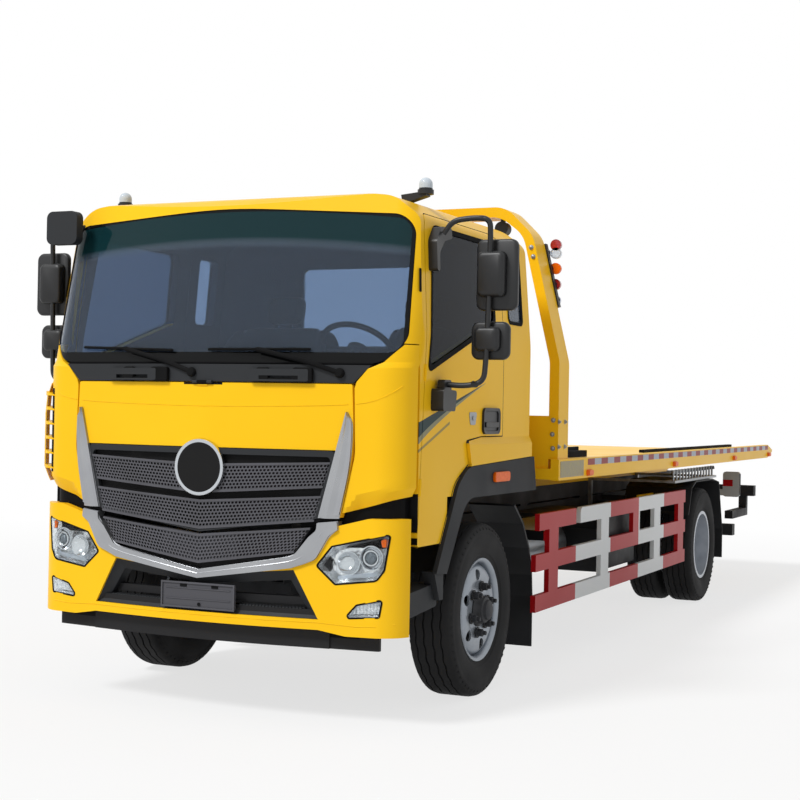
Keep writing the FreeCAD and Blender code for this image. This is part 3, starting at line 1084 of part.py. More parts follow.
def make_lower_grille():
    """The dark moulding behind the bumper: the third grille band, the mouth's surround and the sill."""
    gap, depth = size.seat_gap, size.bumper_thickness
    half = size.cab_half_width
    band = mirrored_outline([(0, size.band_low), (half * size.band_low_share, size.band_end_low),
                             (half * size.band_top_share, size.band_end_top), (0, size.band_top)])
    shape = bumper_ring(0, depth + gap * 2, size.bumper_low, size.bumper_top).common(slab("XZ", band, *BUMPER))
    back = bumper_ring(-depth - gap, depth * 2, size.skirt_low, size.cab_low)
    side = size.mouth_half_low + size.overrun * 2
    frame = mirrored_outline([(side, size.skirt_low), (side, size.cab_low)])
    back = back.common(slab("XZ", frame, *BUMPER)).cut(slab("XZ", mouth_outline(-size.overrun / 4), *BUMPER))
    shape = shape.fuse(back)
    front = at(-size.front_overhang)
    plate_side, corner = size.plate_half_width, size.plate_corner
    plate = slab("XZ", mirrored_outline([(plate_side, size.plate_low, corner), (plate_side, size.plate_top, corner)]),
                 front, front + depth / 3)
    middle = (size.plate_low + size.plate_top) / 2
    stem = block((-size.plate_stem, size.plate_stem), (front + depth / 4, front + depth * 3),
                 (middle - size.overrun, middle + size.overrun))
    step = bumper_ring(-depth / 2, depth * 2, size.mouth_low - size.overrun, size.step_high).common(
        slab("XZ", mouth_outline(-gap), *BUMPER))
    cross = bumper_ring(-depth * 3 / 2, depth * 5 / 2, middle - size.overrun, middle + size.overrun).common(
        block((-side, side), BUMPER, (middle - size.overrun, middle + size.overrun)))
    inset, wall = size.skirt_inset, size.skirt_wall
    shift = size.front_overhang + size.front_face_at
    skirt = slab("XY", cab_plan(inset, inset, -shift), size.skirt_low, size.bumper_low).cut(
        slab("XY", cab_plan(inset + wall, inset + wall, -shift), size.skirt_low - size.overrun,
             size.bumper_low + size.overrun))
    ends = size.cab_half_width * size.skirt_share
    skirt = skirt.common(block((-ends, ends), (front, at(size.skirt_back_at)), (size.skirt_low, size.bumper_low)))
    low, high = size.frame_half_width - size.rail_flange, size.frame_half_width
    bracket = block((low, high), (front + depth, at(size.frame_front_at) - gap),
                    (size.bracket_low, size.cab_low - size.overrun))
    bracket = bracket.common(slab("XY", cab_plan(depth * 3 / 2, depth * 3 / 2, -shift), 0, size.seam_high))
    shape = shape.fuse([plate, stem, step, cross, skirt] + both_sides(bracket))
    node("lower_grille", feature("lower_grille_body", shape))


def make_fenders():
    inner = [(at(-672), 776), (at(-400), 1172, 220), (at(765), 1172)]
    near, far = size.fender_inner_side, size.fender_outer_side
    whole = fender_outline(0)
    arch = inner + [(at(900), 1172), (at(900), 700), (at(-672), 700)]
    skin = slab("YZ", whole[:1] + whole[1:] + [(at(765), 1172), (at(-400), 1172, 220), (at(-672), 776)],
                far - size.fender_wall, far)
    wall = size.liner_wall
    liner = slab("YZ", [(at(-672) - wall, 776), (at(-400) - wall, 1172 + wall, 220), (at(765), 1172 + wall),
                        (at(765), 1172), (at(-400), 1172, 220), (at(-672), 776)], near, far - size.fender_wall)
    step = slab("YZ", [(at(size.step_front_at), size.step_low, 20), (at(size.step_back_at), size.step_low + 30, 20),
                       (at(size.step_back_at), size.step_top + 25, 15), (at(size.step_front_at), size.step_top, 15)],
                size.step_inner_side, size.step_outer_side)
    riser = slab("YZ", [(at(size.step_front_at), size.step_top - 20), (at(size.step_back_at), size.step_top - 20),
                        (at(-690), 800), (at(-735), 925), (at(size.step_front_at), 925)],
                 size.step_inner_side, size.step_inner_side + 30)
    bracket = block((size.frame_half_width, size.step_inner_side + 5), (at(-1000), at(-800)),
                    (size.rail_low + 20, size.rail_low + 100))
    shape = skin.fuse(liner).fuse(step).fuse(riser).fuse(bracket)
    leg = slab("YZ", [(at(-815), 795), (at(-690), 795), (at(-690), 640), (at(-740), 640)],
               size.step_outer_side - 40, size.fender_outer_side - size.fender_wall / 2)
    shape = shape.fuse(leg)
    node("fenders", feature("fenders_body", Part.makeCompound(both_sides(shape))))


def make_mudguards():
    centre = size.tyre_radius
    radius = 660
    near, far = size.fender_inner_side + 10, size.fender_outer_side - 5
    angles = [math.radians(angle) for angle in (62, 45, 28, 12, 0)]
    outer = [(at(radius * math.cos(a)) + 85, centre + radius * math.sin(a) + 12) for a in angles]
    inner = [(at(radius * math.cos(a)) + 73, centre + radius * math.sin(a)) for a in angles]
    liner = slab("YZ", outer + [(outer[-1][0], size.flap_bottom), (inner[-1][0], size.flap_bottom)] + inner[::-1],
                 near, far)
    arm = block((size.frame_half_width, near + 5), (inner[2][0] + 2, outer[2][0] + 40),
                (size.rail_low + 60, size.rail_low + 110))
    front = liner.fuse(arm)
    low_y, high_y = at(size.wheelbase - 590), at(size.wheelbase + 760)
    top, wall = size.guard_arch_top, size.guard_arch_wall
    crown = [(low_y, 800), (low_y + 110, top - 60), (low_y + 260, top), (low_y + 900, top), (high_y - 170, top - 40),
             (high_y, 600), (high_y, 330)]
    under = [(y + (wall if y < at(size.wheelbase) else -wall), z - (wall if index in (2, 3) else 0))
             for index, (y, z) in enumerate(crown)]
    arch = slab("YZ", crown + under[::-1], size.rear_rim_side - size.dual_spacing - size.tyre_half_width,
                size.rear_rim_side + size.tyre_half_width)
    inner_side = size.rear_rim_side - size.dual_spacing - size.tyre_half_width
    stay = block((size.frame_half_width, inner_side + 15), (low_y + 25, low_y + 75),
                 (size.rail_low + 180, size.rail_low + 225))
    rear = block((size.frame_half_width, inner_side + 15), (high_y - 90, high_y - 40),
                 (size.rail_low + 30, size.rail_low + 80))
    post = arch.fuse([stay, rear])
    node("mudguards", feature("mudguards_body", Part.makeCompound(both_sides(front) + both_sides(post))))


def make_tanks():
    y0, y1 = at(size.tank_front_at), at(size.tank_back_at)
    tank = round_bar("y", size.tank_radius, y0, y1, size.tank_side, size.tank_high)
    arms = [block((size.frame_half_width, size.tank_side), (place, place + 50), (size.rail_low + 60, size.rail_low + 120))
            for place in (y0 + 120, y1 - 170)]
    node("fuel_tank", feature("fuel_tank_body", tank.fuse(arms)))
    left = block((size.frame_half_width, size.box_outer), (at(size.box_front_at), at(size.box_back_at)),
                 (size.box_low, size.rail_low + 200))
    battery = block((-size.box_outer, -size.frame_half_width), (at(size.tank_front_at), at(size.tank_front_at + 800)),
                    (size.box_low, size.rail_low + 180))
    locker = block((-size.box_outer, -size.frame_half_width), (at(size.box_front_at), at(size.box_back_at + 600)),
                   (size.box_low, size.rail_low + 200))
    air = round_bar("y", 120, at(size.box_back_at + 120), at(size.guard_back_at - 150), size.frame_half_width + 125,
                    size.rail_low + 60)
    hang = block((size.frame_half_width, size.frame_half_width + 100),
                 (at(size.box_back_at + 300), at(size.box_back_at + 350)), (size.rail_low + 40, size.rail_low + 90))
    node("side_boxes", feature("side_boxes_body", Part.makeCompound([left, battery, locker, air.fuse(hang)])))


GUARD_POST_SHARES = (0.09, 0.385, 0.6, 0.76, 0.96)
GUARD_ARM_SHARES = (0.0701, 0.3739, 0.9816)
GUARD_BREAK_SHARES = (0.0156, 0.2103, 0.235)


def make_guards():
    """Rails and posts along each side, on arms from the frame; the top rail is broken behind the cab."""
    low, top, height = size.guard_low, size.guard_top, size.guard_rail_height
    near, far = size.guard_side, size.guard_side + size.guard_depth
    front, back = at(size.guard_front_at), at(size.guard_back_at)
    length = back - front
    middle = (low + top - height) / 2
    curl = height * 2 / 5
    shape = block((near, far), (front, back), (low, low + height)).fuse(
        block((near, far), (front, back), (middle, middle + height)))
    shape = shape.fuse(block((near, far), (front + length * GUARD_BREAK_SHARES[0], front + length * GUARD_BREAK_SHARES[1]),
                             (top - height, top)))
    hook = front + length * GUARD_BREAK_SHARES[2]
    shape = shape.fuse(slab("YZ", [(hook, top - height), (back, top - height), (back, top), (hook, top, curl)], near, far))
    width = size.post_width
    for share in GUARD_POST_SHARES:
        place = front + length * share
        foot = middle if share == GUARD_POST_SHARES[2] else low
        shape = shape.fuse(block((near, far), (place - width / 2, place + width / 2), (foot, top)))
    reach = size.overrun * 3 / 2
    for share in GUARD_ARM_SHARES:
        place = front + length * share
        arm = block((size.frame_half_width, near), (place - reach, place + reach),
                    (top - height - reach * 5 / 2, top - height - reach / 2))
        shape = shape.fuse(arm)
    node("side_guards", feature("side_guards_body", Part.makeCompound(both_sides(shape))))


def make_rear():
    """The rear lamps on their panels, with the under-run bar and its hangers."""
    back = at(size.frame_end_at)
    bar_front = back - size.bar_height
    beam = block((-size.bar_half_width, size.bar_half_width), (bar_front, back),
                 (size.bar_low, size.bar_low + size.bar_height))
    shape = beam
    for way in (-1, 1):
        low, high = sorted((way * size.frame_half_width, way * (size.frame_half_width - size.lug_wall)))
        shape = shape.fuse(block((low, high), (bar_front, back - 20), (size.bar_low + size.bar_height, size.rail_low)))
        low, high = sorted((way * (size.lamp_side - size.lamp_half_width), way * (size.lamp_side + size.lamp_half_width)))
        panel = slab("XZ", [(low, size.lamp_low, 30), (high, size.lamp_low, 30), (high, size.lamp_top, 30),
                            (low, size.lamp_top, 30)], at(size.lamp_at) - size.lamp_depth, at(size.lamp_at))
        low, high = sorted((way * size.frame_half_width, way * size.lamp_side))
        arm = block((low, high), (at(size.lamp_at) - 45, at(size.lamp_at) - 10), (size.lamp_low + 10, size.lamp_low + 70))
        shape = shape.fuse(panel).fuse(arm)
    node("rear_lamps", feature("rear_lamps_body", shape))


def make_levers():
    """The bank of control levers under the bed's left rail, on two posts from the frame."""
    front, back = at(size.lever_front_at), at(size.lever_back_at)
    side, low, top = size.lever_side, size.lever_low, size.lever_top
    plate = size.overrun
    shape = block((side - 90, side), (front, back), (low, low + plate))
    for place in (front + 20, back - 60):
        shape = shape.fuse(block((size.frame_half_width, side - 80), (place, place + 40), (low, low + plate)))
        shape = shape.fuse(block((size.frame_half_width, size.frame_half_width + 30), (place, place + 40),
                                 (size.rail_low + 150, low + plate / 2)))
    count = int(size.lever_count)
    for index in range(count):
        place = front + (back - front) * (index + 0.5) / count
        shape = shape.fuse(round_bar("z", size.lever_radius, low + plate / 2, top - plate, side - 30, place))
        shape = shape.fuse(round_bar("z", size.lever_radius * 2, top - plate * 2, top - plate / 2, side - 30, place))
    node("lever_bank", feature("lever_bank_body", shape))


def make_interior():
    floor = size.floor_low + size.floor_wall
    wall = at(size.cab_back_at) - size.wall_thickness
    seats = []
    for centre, width in ((560, 480), (-420, 860)):
        base = block((centre - width / 2 + 60, centre + width / 2 - 60), (at(-330), at(120)), (floor, 1420))
        cushion = slab("YZ", [(at(-420), 1420, 30), (at(150), 1420, 30), (at(150), 1560, 50), (at(-420), 1560, 60)],
                       centre - width / 2, centre + width / 2)
        back = slab("YZ", [(at(90), 1500, 40), (at(230), 1500, 40), (at(390), 2140, 50), (at(270), 2180, 50)],
                    centre - width / 2, centre + width / 2)
        head = slab("YZ", [(at(300), 2190, 30), (at(400), 2190, 30), (at(430), 2360, 40), (at(330), 2380, 40)],
                    centre - 130, centre + 130)
        post = slab("YZ", [(at(300), 2050), (at(330), 2050), (at(375), 2250), (at(345), 2250)],
                    centre - 60, centre + 60)
        seats.append(base.fuse([cushion, back, head, post]))
    node("seats", feature("seats_body", Part.makeCompound(seats)))
    front = at(size.front_face_at) + size.skin_thickness + size.skin_gap + size.wall_thickness
    dash = slab("YZ", [(front + 20, 1400, 30), (at(-950), 1400, 40), (at(-870), 1650, 60), (at(-900), 1880, 60),
                       (at(-1000), 1925, 40), (front + 40, 1925, 30)], -900, 900)
    legs = block((-640, -600), (front + 25, at(-1000)), (floor, 1410)).fuse(
        block((600, 640), (front + 25, at(-1000)), (floor, 1410)))
    hub = Vector(620, at(-700), 1990)
    tilt = Vector(0, 0.62, 0.78)
    wheel = Part.makeTorus(205, 16, hub, tilt)
    column = Part.makeCylinder(32, 330, hub - tilt * 330, tilt)
    boss = Part.makeCylinder(60, 30, hub - tilt * 30, tilt)
    spokes = Part.makeCylinder(14, 410, hub - Vector(205, 0, 0), Vector(1, 0, 0))
    gap = size.seat_gap
    deep = size.skin_thickness + size.skin_gap + size.wall_thickness + gap
    room = cab_block(size.wall_thickness + gap, size.door_thickness + gap, size.roof_wall, size.wall_thickness, deep,
                     size.floor_wall)
    dash = dash.fuse(legs).common(room)
    node("dashboard", feature("dashboard_body", dash.fuse([wheel, column, boss, spokes])))


def make_beacons():
    pieces = []
    for way in (-1, 1):
        foot = at(-640)
        roof = 2770
        centre = way * 985
        arm = slab("XZ", [(way * 860, roof + 20), (way * 1000, roof + 60), (way * 1000, roof + 85), (way * 850, roof + 70)]
                   if way > 0 else [(-850, roof + 70), (-1000, roof + 85), (-1000, roof + 60), (-860, roof + 20)],
                   foot - 30, foot + 30)
        base = round_bar("z", 45, roof + 70, roof + 95, centre, foot)
        dome = round_bar("z", 38, roof + 95, roof + 125, centre, foot).fuse(
            Part.makeSphere(38, Vector(centre, foot, roof + 125)))
        pieces.append(arm.fuse([base, dome]))
    gap = -size.seat_gap
    roof_form = cab_block(gap, gap, gap, gap, gap)
    pieces = [piece.cut(roof_form) for piece in pieces]
    node("beacons", feature("beacons_body", Part.makeCompound(pieces)))


# Tilt frame under the bed, with the slide cylinder's barrel and the pins it is lifted by
def make_tilt_frame():
    ends = (f"{AXLE} + tilt_front_at", f"{AXLE} + tilt_back_at")
    inner, outer = "tilt_rail_side - tilt_rail_half_width", "tilt_rail_side + tilt_rail_half_width"
    rail = box("tilt_rail", (inner, outer), ends, ("tilt_low", "tilt_top"))
    pieces = [rail, mirror("tilt_rail_right", rail)]
    for index, share in enumerate((0, 0.3, 0.62, 0.92)):
        start = f"{AXLE} + tilt_front_at + {share} * (tilt_back_at - tilt_front_at)"
        pieces.append(box(f"tilt_member_{index}", (f"-({inner})", inner), (start, f"{start} + member_depth"),
                          ("tilt_low", "tilt_member_top")))
    ear = bar("tilt_ear", "x", "lug_radius", "frame_half_width - lug_wall - panel_gap - lug_wall",
              "frame_half_width - lug_wall - panel_gap", y=f"{AXLE} + pivot_at", z="pivot_high")
    plate = box("tilt_ear_plate", ("frame_half_width - lug_wall - panel_gap - lug_wall",
                                   "frame_half_width - lug_wall - panel_gap"),
                (f"{AXLE} + pivot_at - lug_radius", f"{AXLE} + pivot_at + lug_radius"), ("pivot_high", "tilt_low"))
    hinge = fuse("tilt_ears", ear, plate)
    pieces += [hinge, mirror("tilt_ears_right", hinge)]
    trunnion = bar("ram_eye_pin", "x", "ram_eye_pin_radius", "ram_side - ram_eye_half_width - overrun", inner,
                   y=f"{AXLE} + ram_eye_at", z="ram_eye_high")
    pieces += [trunnion, mirror("ram_eye_pin_right", trunnion)]
    ear_low = box("lift_ear", ("boom_half + panel_gap", "boom_half + panel_gap + lug_wall"),
                  (f"{AXLE} + lift_at - lug_radius", f"{AXLE} + tilt_back_at"), ("lift_high - lug_radius", "tilt_low"))
    cross = box("lift_cross", (f"-({inner})", inner), (f"{AXLE} + lift_at - lug_radius", f"{AXLE} + tilt_back_at"),
                ("tilt_low", "tilt_member_top"))
    pieces += [ear_low, mirror("lift_ear_right", ear_low), cross]
    pieces.append(bar("lift_pin", "x", "lift_pin_radius", "-(boom_half + panel_gap + lug_wall)",
                      "boom_half + panel_gap + lug_wall", y=f"{AXLE} + lift_at", z="lift_high"))
    barrel = bar("slide_barrel", "y", "barrel_radius_slide", f"{AXLE} + slide_barrel_front_at",
                 f"{AXLE} + slide_barrel_back_at", x="0", z="slide_high")
    pieces.append(barrel)
    for index, share in enumerate((0, 0.62)):
        start = f"{AXLE} + tilt_front_at + {share} * (tilt_back_at - tilt_front_at)"
        pieces.append(box(f"slide_saddle_{index}", ("-barrel_radius_slide * 0.7", "barrel_radius_slide * 0.7"),
                          (f"{start} + overrun * 2", f"{start} + member_depth"), ("tilt_low + overrun", "slide_high")))
    whole = fuse("tilt_frame_solid", *pieces)
    bore = bar("slide_bore", "y", "slide_rod_radius + running_gap",
               f"{AXLE} + slide_barrel_front_at + barrel_radius_slide",
               f"{AXLE} + slide_barrel_back_at + overrun", x="0", z="slide_high")
    shaft_hole = bar("tilt_shaft_hole", "x", "pivot_radius + running_gap / 4", "-frame_half_width",
                     "frame_half_width", y=f"{AXLE} + pivot_at", z="pivot_high")
    node("tilt_frame", cut("tilt_frame_body", whole, bore, shaft_hole))


def make_rams():
    """The two tilt cylinders: barrels on a pin in the chassis, and rods that reach the tilt frame."""
    base = Vector(size.ram_side, at(size.ram_base_at), size.ram_base_high)
    eye = Vector(size.ram_side, at(size.ram_eye_at), size.ram_eye_high)
    way = eye - base
    reach = way.Length
    way.normalize()
    half = size.ram_eye_half_width
    barrel = Part.makeCylinder(size.ram_barrel_radius, size.ram_barrel_length, base, way)
    end = round_bar("x", size.ram_eye_radius, size.ram_side - half, size.ram_side + half, base.y, base.z)
    barrel = barrel.fuse(end)
    stroke = Part.makeCylinder(size.ram_rod_radius + size.running_gap, size.ram_barrel_length,
                               base + way * size.ram_eye_radius * 2, way)
    pin = round_bar("x", size.ram_pin_radius + size.running_gap / 4, size.ram_side - half - size.overrun * 2,
                    size.ram_side + half + size.overrun * 2, base.y, base.z)
    barrel = barrel.cut(stroke).cut(pin)
    node("tilt_barrels", feature("tilt_barrels_body", Part.makeCompound(both_sides(barrel))))
    start = base + way * (size.ram_eye_radius * 3)
    rod = Part.makeCylinder(size.ram_rod_radius, reach - size.ram_eye_radius * 3, start, way)
    ring = round_bar("x", size.ram_eye_radius, size.ram_side - half, size.ram_side + half, eye.y, eye.z)
    hole = round_bar("x", size.ram_eye_bore, size.ram_side - half * 2, size.ram_side + half * 2, eye.y, eye.z)
    rod = rod.fuse(ring).cut(hole)
    node("tilt_rods", feature("tilt_rods_body", Part.makeCompound(both_sides(rod))))


# Bed: runners, cross members, deck plate and side rails in one weldment, with the slide rod
def make_bed():
    half = size.bed_half_width
    front, tail = at(size.bed_front_at), at(size.bed_tail_at)
    edge = size.bed_rail_width
    profile = [(front, size.bed_rail_low), (at(size.tail_at), size.bed_rail_low), (tail, size.tail_tip_low),
               (tail, size.tail_tip_top), (at(size.tail_at), size.bed_rail_top), (front, size.bed_rail_top)]
    rail = slab("YZ", profile, half - edge, half)
    deck_thickness = size.deck_top - size.cross_top
    deck = block((-half + edge, half - edge), (front, at(size.tail_at)), (size.cross_top, size.deck_top))
    tail_plate = slab("YZ", [(at(size.tail_at), size.cross_top), (tail, size.tail_tip_low),
                             (tail, size.tail_tip_low + deck_thickness), (at(size.tail_at), size.deck_top)],
                      -half + edge, half - edge)
    shape = deck.fuse([tail_plate] + both_sides(rail))
    runner_x = (size.tilt_rail_side - size.tilt_rail_half_width, size.tilt_rail_side + size.tilt_rail_half_width)
    foot, inside = size.tilt_top + size.running_gap, size.cross_top + deck_thickness / 2
    knee, end = at(size.pivot_at - size.runner_knee), at(size.pivot_at + size.runner_rise)
    runner = slab("YZ", [(front, foot), (knee, foot), (end, size.cross_top), (end, inside), (front, inside)],
                  *runner_x)
    shape = shape.fuse(both_sides(runner))
    length = size.tail_at - size.bed_front_at
    count = int(length / size.cross_spacing)
    spacing = (length - size.cross_width) / count
    for index in range(count + 1):
        place = front + index * spacing
        shape = shape.fuse(block((-half + edge, half - edge), (place, place + size.cross_width),
                                 (size.cross_low, size.cross_top)))
    eye_y = at(size.slide_eye_at)
    rod = round_bar("y", size.slide_rod_radius, at(size.slide_barrel_front_at) + size.barrel_radius_slide * 2,
                    eye_y - size.overrun, 0, size.slide_high)
    bracket = block((-size.barrel_radius_slide, size.barrel_radius_slide), (eye_y - size.cross_width, eye_y),
                    (size.slide_high - size.barrel_radius_slide * 3 / 4, size.cross_top))
    node("bed_deck", feature("bed_deck_body", shape.fuse([rod, bracket])))


def hoop_outline(inset):
    """The headboard's arch seen from the front, drawn in by an inset."""
    leg, shoulder = size.leg_side - inset, size.hoop_shoulder_side - inset
    return mirrored_outline([
        (leg, size.bed_rail_top), (leg, size.leg_bend_high, size.hoop_radius),
        (shoulder, size.hoop_shoulder_high, size.hoop_radius), (shoulder - size.hoop_radius + inset / 2,
                                                               size.hoop_top - inset, size.hoop_radius)])


def make_headboard():
    front, back = at(size.leg_front_at), at(size.leg_back_at)
    shape = slab("XZ", hoop_outline(0), front, back)
    inner = slab("XZ", hoop_outline(size.leg_thickness), front - size.overrun, back + size.overrun)
    foot = block((-SIDE, SIDE), (front - size.overrun, back + size.overrun),
                 (size.bed_rail_top - size.overrun, size.bed_rail_top + size.overrun))
    inside = size.leg_side - size.leg_thickness
    foot = block((-inside, inside), (front - size.overrun, back + size.overrun),
                 (size.bed_rail_top - size.overrun, size.bed_rail_top + size.overrun))
    shape = shape.cut(inner).cut(foot)
    panel_side = size.leg_side - size.leg_thickness
    panel = block((-panel_side, panel_side), (front, front + size.panel_thickness), (size.deck_top, size.panel_top))
    node("headboard", feature("headboard_body", shape.fuse(panel)))


LAMP_BAR_SHARES = (0.44, 0.95)


def leg_point(share):
    """A point up the hoop's slanted leg, on the middle of its thickness."""
    drop = size.hoop_shoulder_high - size.leg_bend_high
    inset = size.leg_thickness / 4
    return Vector(size.leg_side + (size.hoop_shoulder_side - size.leg_side) * share - inset, 0,
                  size.leg_bend_high + drop * share)


def make_bed_lamps():
    """Lamp bars on the hoop's slanted legs and the work lamp under its top beam."""
    back = at(size.leg_back_at)
    pieces = []
    low, high = leg_point(LAMP_BAR_SHARES[0]), leg_point(LAMP_BAR_SHARES[1])
    along = high - low
    along.normalize()
    across = Vector(along.z, 0, -along.x)
    corners = [low - across * 26, low + across * 26, high + across * 26, high - across * 26]
    bar_shape = slab("XZ", [(corner.x, corner.z) for corner in corners], back, back + 40)
    for index in range(4):
        centre = low + along * ((high - low).Length * (index + 0.5) / 4)
        dome = round_bar("y", 30, back + 40, back + 60, centre.x, centre.z).fuse(
            Part.makeSphere(30, Vector(centre.x, back + 60, centre.z)))
        bar_shape = bar_shape.fuse(dome)
    pieces += both_sides(bar_shape)
    lamp = round_bar("y", 46, at(1040), at(1110), 795, 2858)
    stem = block((783, 807), (at(1060), at(1090)), (2858, size.hoop_top - size.leg_thickness - size.running_gap))
    room = slab("XZ", hoop_outline(size.leg_thickness + size.seat_gap), at(size.leg_front_at), back)
    pieces += [lamp.fuse(stem.common(room))]
    node("bed_lamps", feature("bed_lamps_body", Part.makeCompound(pieces)))


def make_winch():
    y, z = at(size.winch_at), size.deck_top + size.winch_high
    half, plate = size.winch_half_width, size.winch_plate
    foot = block((-half - plate, half + plate), (y - 150, y + 150), (size.deck_top, size.deck_top + plate))
    shape = foot
    for way in (-1, 1):
        low, high = sorted((way * half, way * (half + plate)))
        shape = shape.fuse(slab("YZ", [(y - 150, size.deck_top), (y + 150, size.deck_top), (y + 90, z + 90, 60),
                                       (y - 90, z + 90, 60)], low, high))
    case = round_bar("x", 110, half + plate, half + plate + 170, y, z)
    hole = round_bar("x", size.winch_pin_radius + size.running_gap / 4, -half - plate * 2, half + plate * 3, y, z)
    shape = shape.fuse(case).cut(hole)
    node("winch_frame", feature("winch_frame_body", shape))
    gap = size.panel_gap
    inner = half - gap - plate
    drum = round_bar("x", size.drum_rope_radius, -inner, inner, y, z)
    for way in (-1, 1):
        low, high = sorted((way * inner, way * (half - gap)))
        drum = drum.fuse(round_bar("x", size.drum_flange_radius, low, high, y, z))
    drum = drum.fuse(round_bar("x", size.winch_pin_radius, -half - plate, half + plate * 2, y, z))
    node("winch_drum", feature("winch_drum_body", drum))


def make_lift():
    y, z = at(size.lift_at), size.lift_high
    half, wall = size.boom_half, size.boom_wall
    back = at(size.boom_back_at)
    boom = block((-half, half), (y, back), (z - half, z + half))
    bore = block((-half + wall, half - wall), (y + size.lug_radius * 2, back + size.overrun),
                 (z - half + wall, z + half - wall))
    root = round_bar("x", half, -half, half, y, z)
    pin = round_bar("x", size.lift_pin_radius + size.running_gap / 4, -half - size.overrun, half + size.overrun, y, z)
    node("lift_boom", feature("lift_boom_body", boom.fuse(root).cut(bore).cut(pin)))
    slide = half - wall - size.running_gap
    bar_y = at(size.crossbar_at)
    section = size.crossbar_half
    inner = block((-slide, slide), (y + size.lug_radius * 2 + size.overrun / 2, bar_y), (z - slide, z + slide))
    cross = block((-size.crossbar_half_width, size.crossbar_half_width), (bar_y - section, bar_y + section),
                  (z - section + 20, z + section + 20))
    shape = inner.fuse(cross)
    arm = size.cradle_half
    for way in (-1, 1):
        side = way * size.cradle_side
        drop = block((side - arm, side + arm), (bar_y - arm, bar_y + arm), (size.cradle_low, z))
        reach = block((side - arm, side + arm), (at(size.cradle_front_at), bar_y),
                      (size.cradle_low, size.cradle_low + arm * 2))
        shape = shape.fuse(drop).fuse(reach)
    node("lift_crossbar", feature("lift_crossbar_body", shape))


make_frame()
make_powertrain()
make_front_axle()
make_knuckle("knuckle_left", 1)
make_knuckle("knuckle_right", -1)
make_rear_axle()
make_wheels()
cab_panes = make_cab()
make_doors(cab_panes)
make_front_panel()
make_corner_panels()
make_bumper()
make_lower_grille()
make_fenders()
make_mudguards()
make_tanks()
make_guards()
make_rear()
make_levers()
make_interior()
make_beacons()
make_tilt_frame()
make_rams()
make_bed()
make_headboard()
make_bed_lamps()
make_winch()
make_lift()

doc.recompute()
for thing in doc.Objects:
    if "Invalid" in thing.State or "Error" in thing.State:
        raise RuntimeError(f"{thing.Name} did not recompute: {thing.State}")
for name, thing in NODES.items():
    if thing.Shape.isNull() or not thing.Shape.isValid() or not thing.Shape.Solids:
        raise RuntimeError(f"{name} has no sound solid")

os.makedirs("parts", exist_ok=True)
for name, thing in NODES.items():
    thing.Shape.exportStep(f"parts/{name}.step")
    bounds = thing.Shape.BoundBox
    print(f"{name}: {len(thing.Shape.Solids)} solids, {thing.Shape.Volume / 1e9:.4f} m3, "
          f"x {bounds.XMin:.0f}..{bounds.XMax:.0f} y {bounds.YMin:.0f}..{bounds.YMax:.0f} "
          f"z {bounds.ZMin:.0f}..{bounds.ZMax:.0f}")
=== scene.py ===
import math

import bmesh
import bpy
from mathutils import Matrix, Vector


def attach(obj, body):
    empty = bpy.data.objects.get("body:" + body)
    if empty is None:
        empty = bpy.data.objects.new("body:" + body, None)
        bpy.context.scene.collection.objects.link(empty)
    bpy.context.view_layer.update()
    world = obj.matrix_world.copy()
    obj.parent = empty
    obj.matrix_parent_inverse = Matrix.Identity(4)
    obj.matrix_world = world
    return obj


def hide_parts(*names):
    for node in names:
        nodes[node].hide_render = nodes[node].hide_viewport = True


# A yellow flatbed recovery truck dressed for its portrait. The truck faces -Y and +X is its left side.
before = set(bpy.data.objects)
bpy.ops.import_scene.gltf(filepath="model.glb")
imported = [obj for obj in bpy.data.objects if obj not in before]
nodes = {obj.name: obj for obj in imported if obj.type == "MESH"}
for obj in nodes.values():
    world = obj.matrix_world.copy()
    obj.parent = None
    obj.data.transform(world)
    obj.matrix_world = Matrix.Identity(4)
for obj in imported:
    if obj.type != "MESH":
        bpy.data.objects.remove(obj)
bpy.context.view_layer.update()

# Sizes and places in metres
AXLE = -3.42
REAR_AXLE = AXLE + 5.2
NOSE = AXLE - 1.31
BUMPER_NOSE = AXLE - 1.32
HALF_WIDTH = 1.145
BELT = 1.89
SWEEP_TURN = math.atan2(0.148, HALF_WIDTH)
SWEEP_RADIUS = 4.1
CORNER_RADIUS = 0.19
HUB_HIGH = 0.505
FRONT_TYRE = 0.985
REAR_TYRES = (1.073, 0.763)
LUG_ASIDE, LUG_RADIUS = 0.1225, 0.478
FRONT_NUT_FACE, FRONT_NUT_CIRCLE = 1.0945, 0.134
REAR_NUT_FACE, REAR_NUT_CIRCLE = REAR_TYRES[0] - 0.141, 0.138
HAND_HOLE_CIRCLE = 0.207
HAND_HOLE_RADIUS = 0.032
EMBLEM_HIGH = 1.333
SLAT_RIM = 0.011
SLAT_PROUD = 0.006
HOLE_DEPTH = 0.014
LINE_RADIUS = 0.003
PROJECTOR = (0.967, 0.893)
MIRROR_FACE = AXLE - 0.70
RAIL_SIDE = 1.25
TAPE_START, TAPE_END, TAPE_PITCH = 1.565, 8.05, 0.155
TAPE_HIGH, TAPE_WIDE = 1.331, 0.042
MARKER_HIGH, MARKERS_BACK = 1.259, (1.587, 3.926, 6.221, 7.952)
HOOP_FRONT = 0.9695
LEVERS_BACK, LEVER_PITCH, LEVER_TOP = 4.262, 0.1095, 1.165

SIDES = (("left", 1), ("right", -1))
UP = (0, 0, 1)
AHEAD = (0, -1, 0)
WORLD_LIGHT = 0.46
SUN_LIGHT = 2.45


def back(place):
    """A place measured rearward from the front axle, as a Y."""
    return AXLE + place


# Meshes

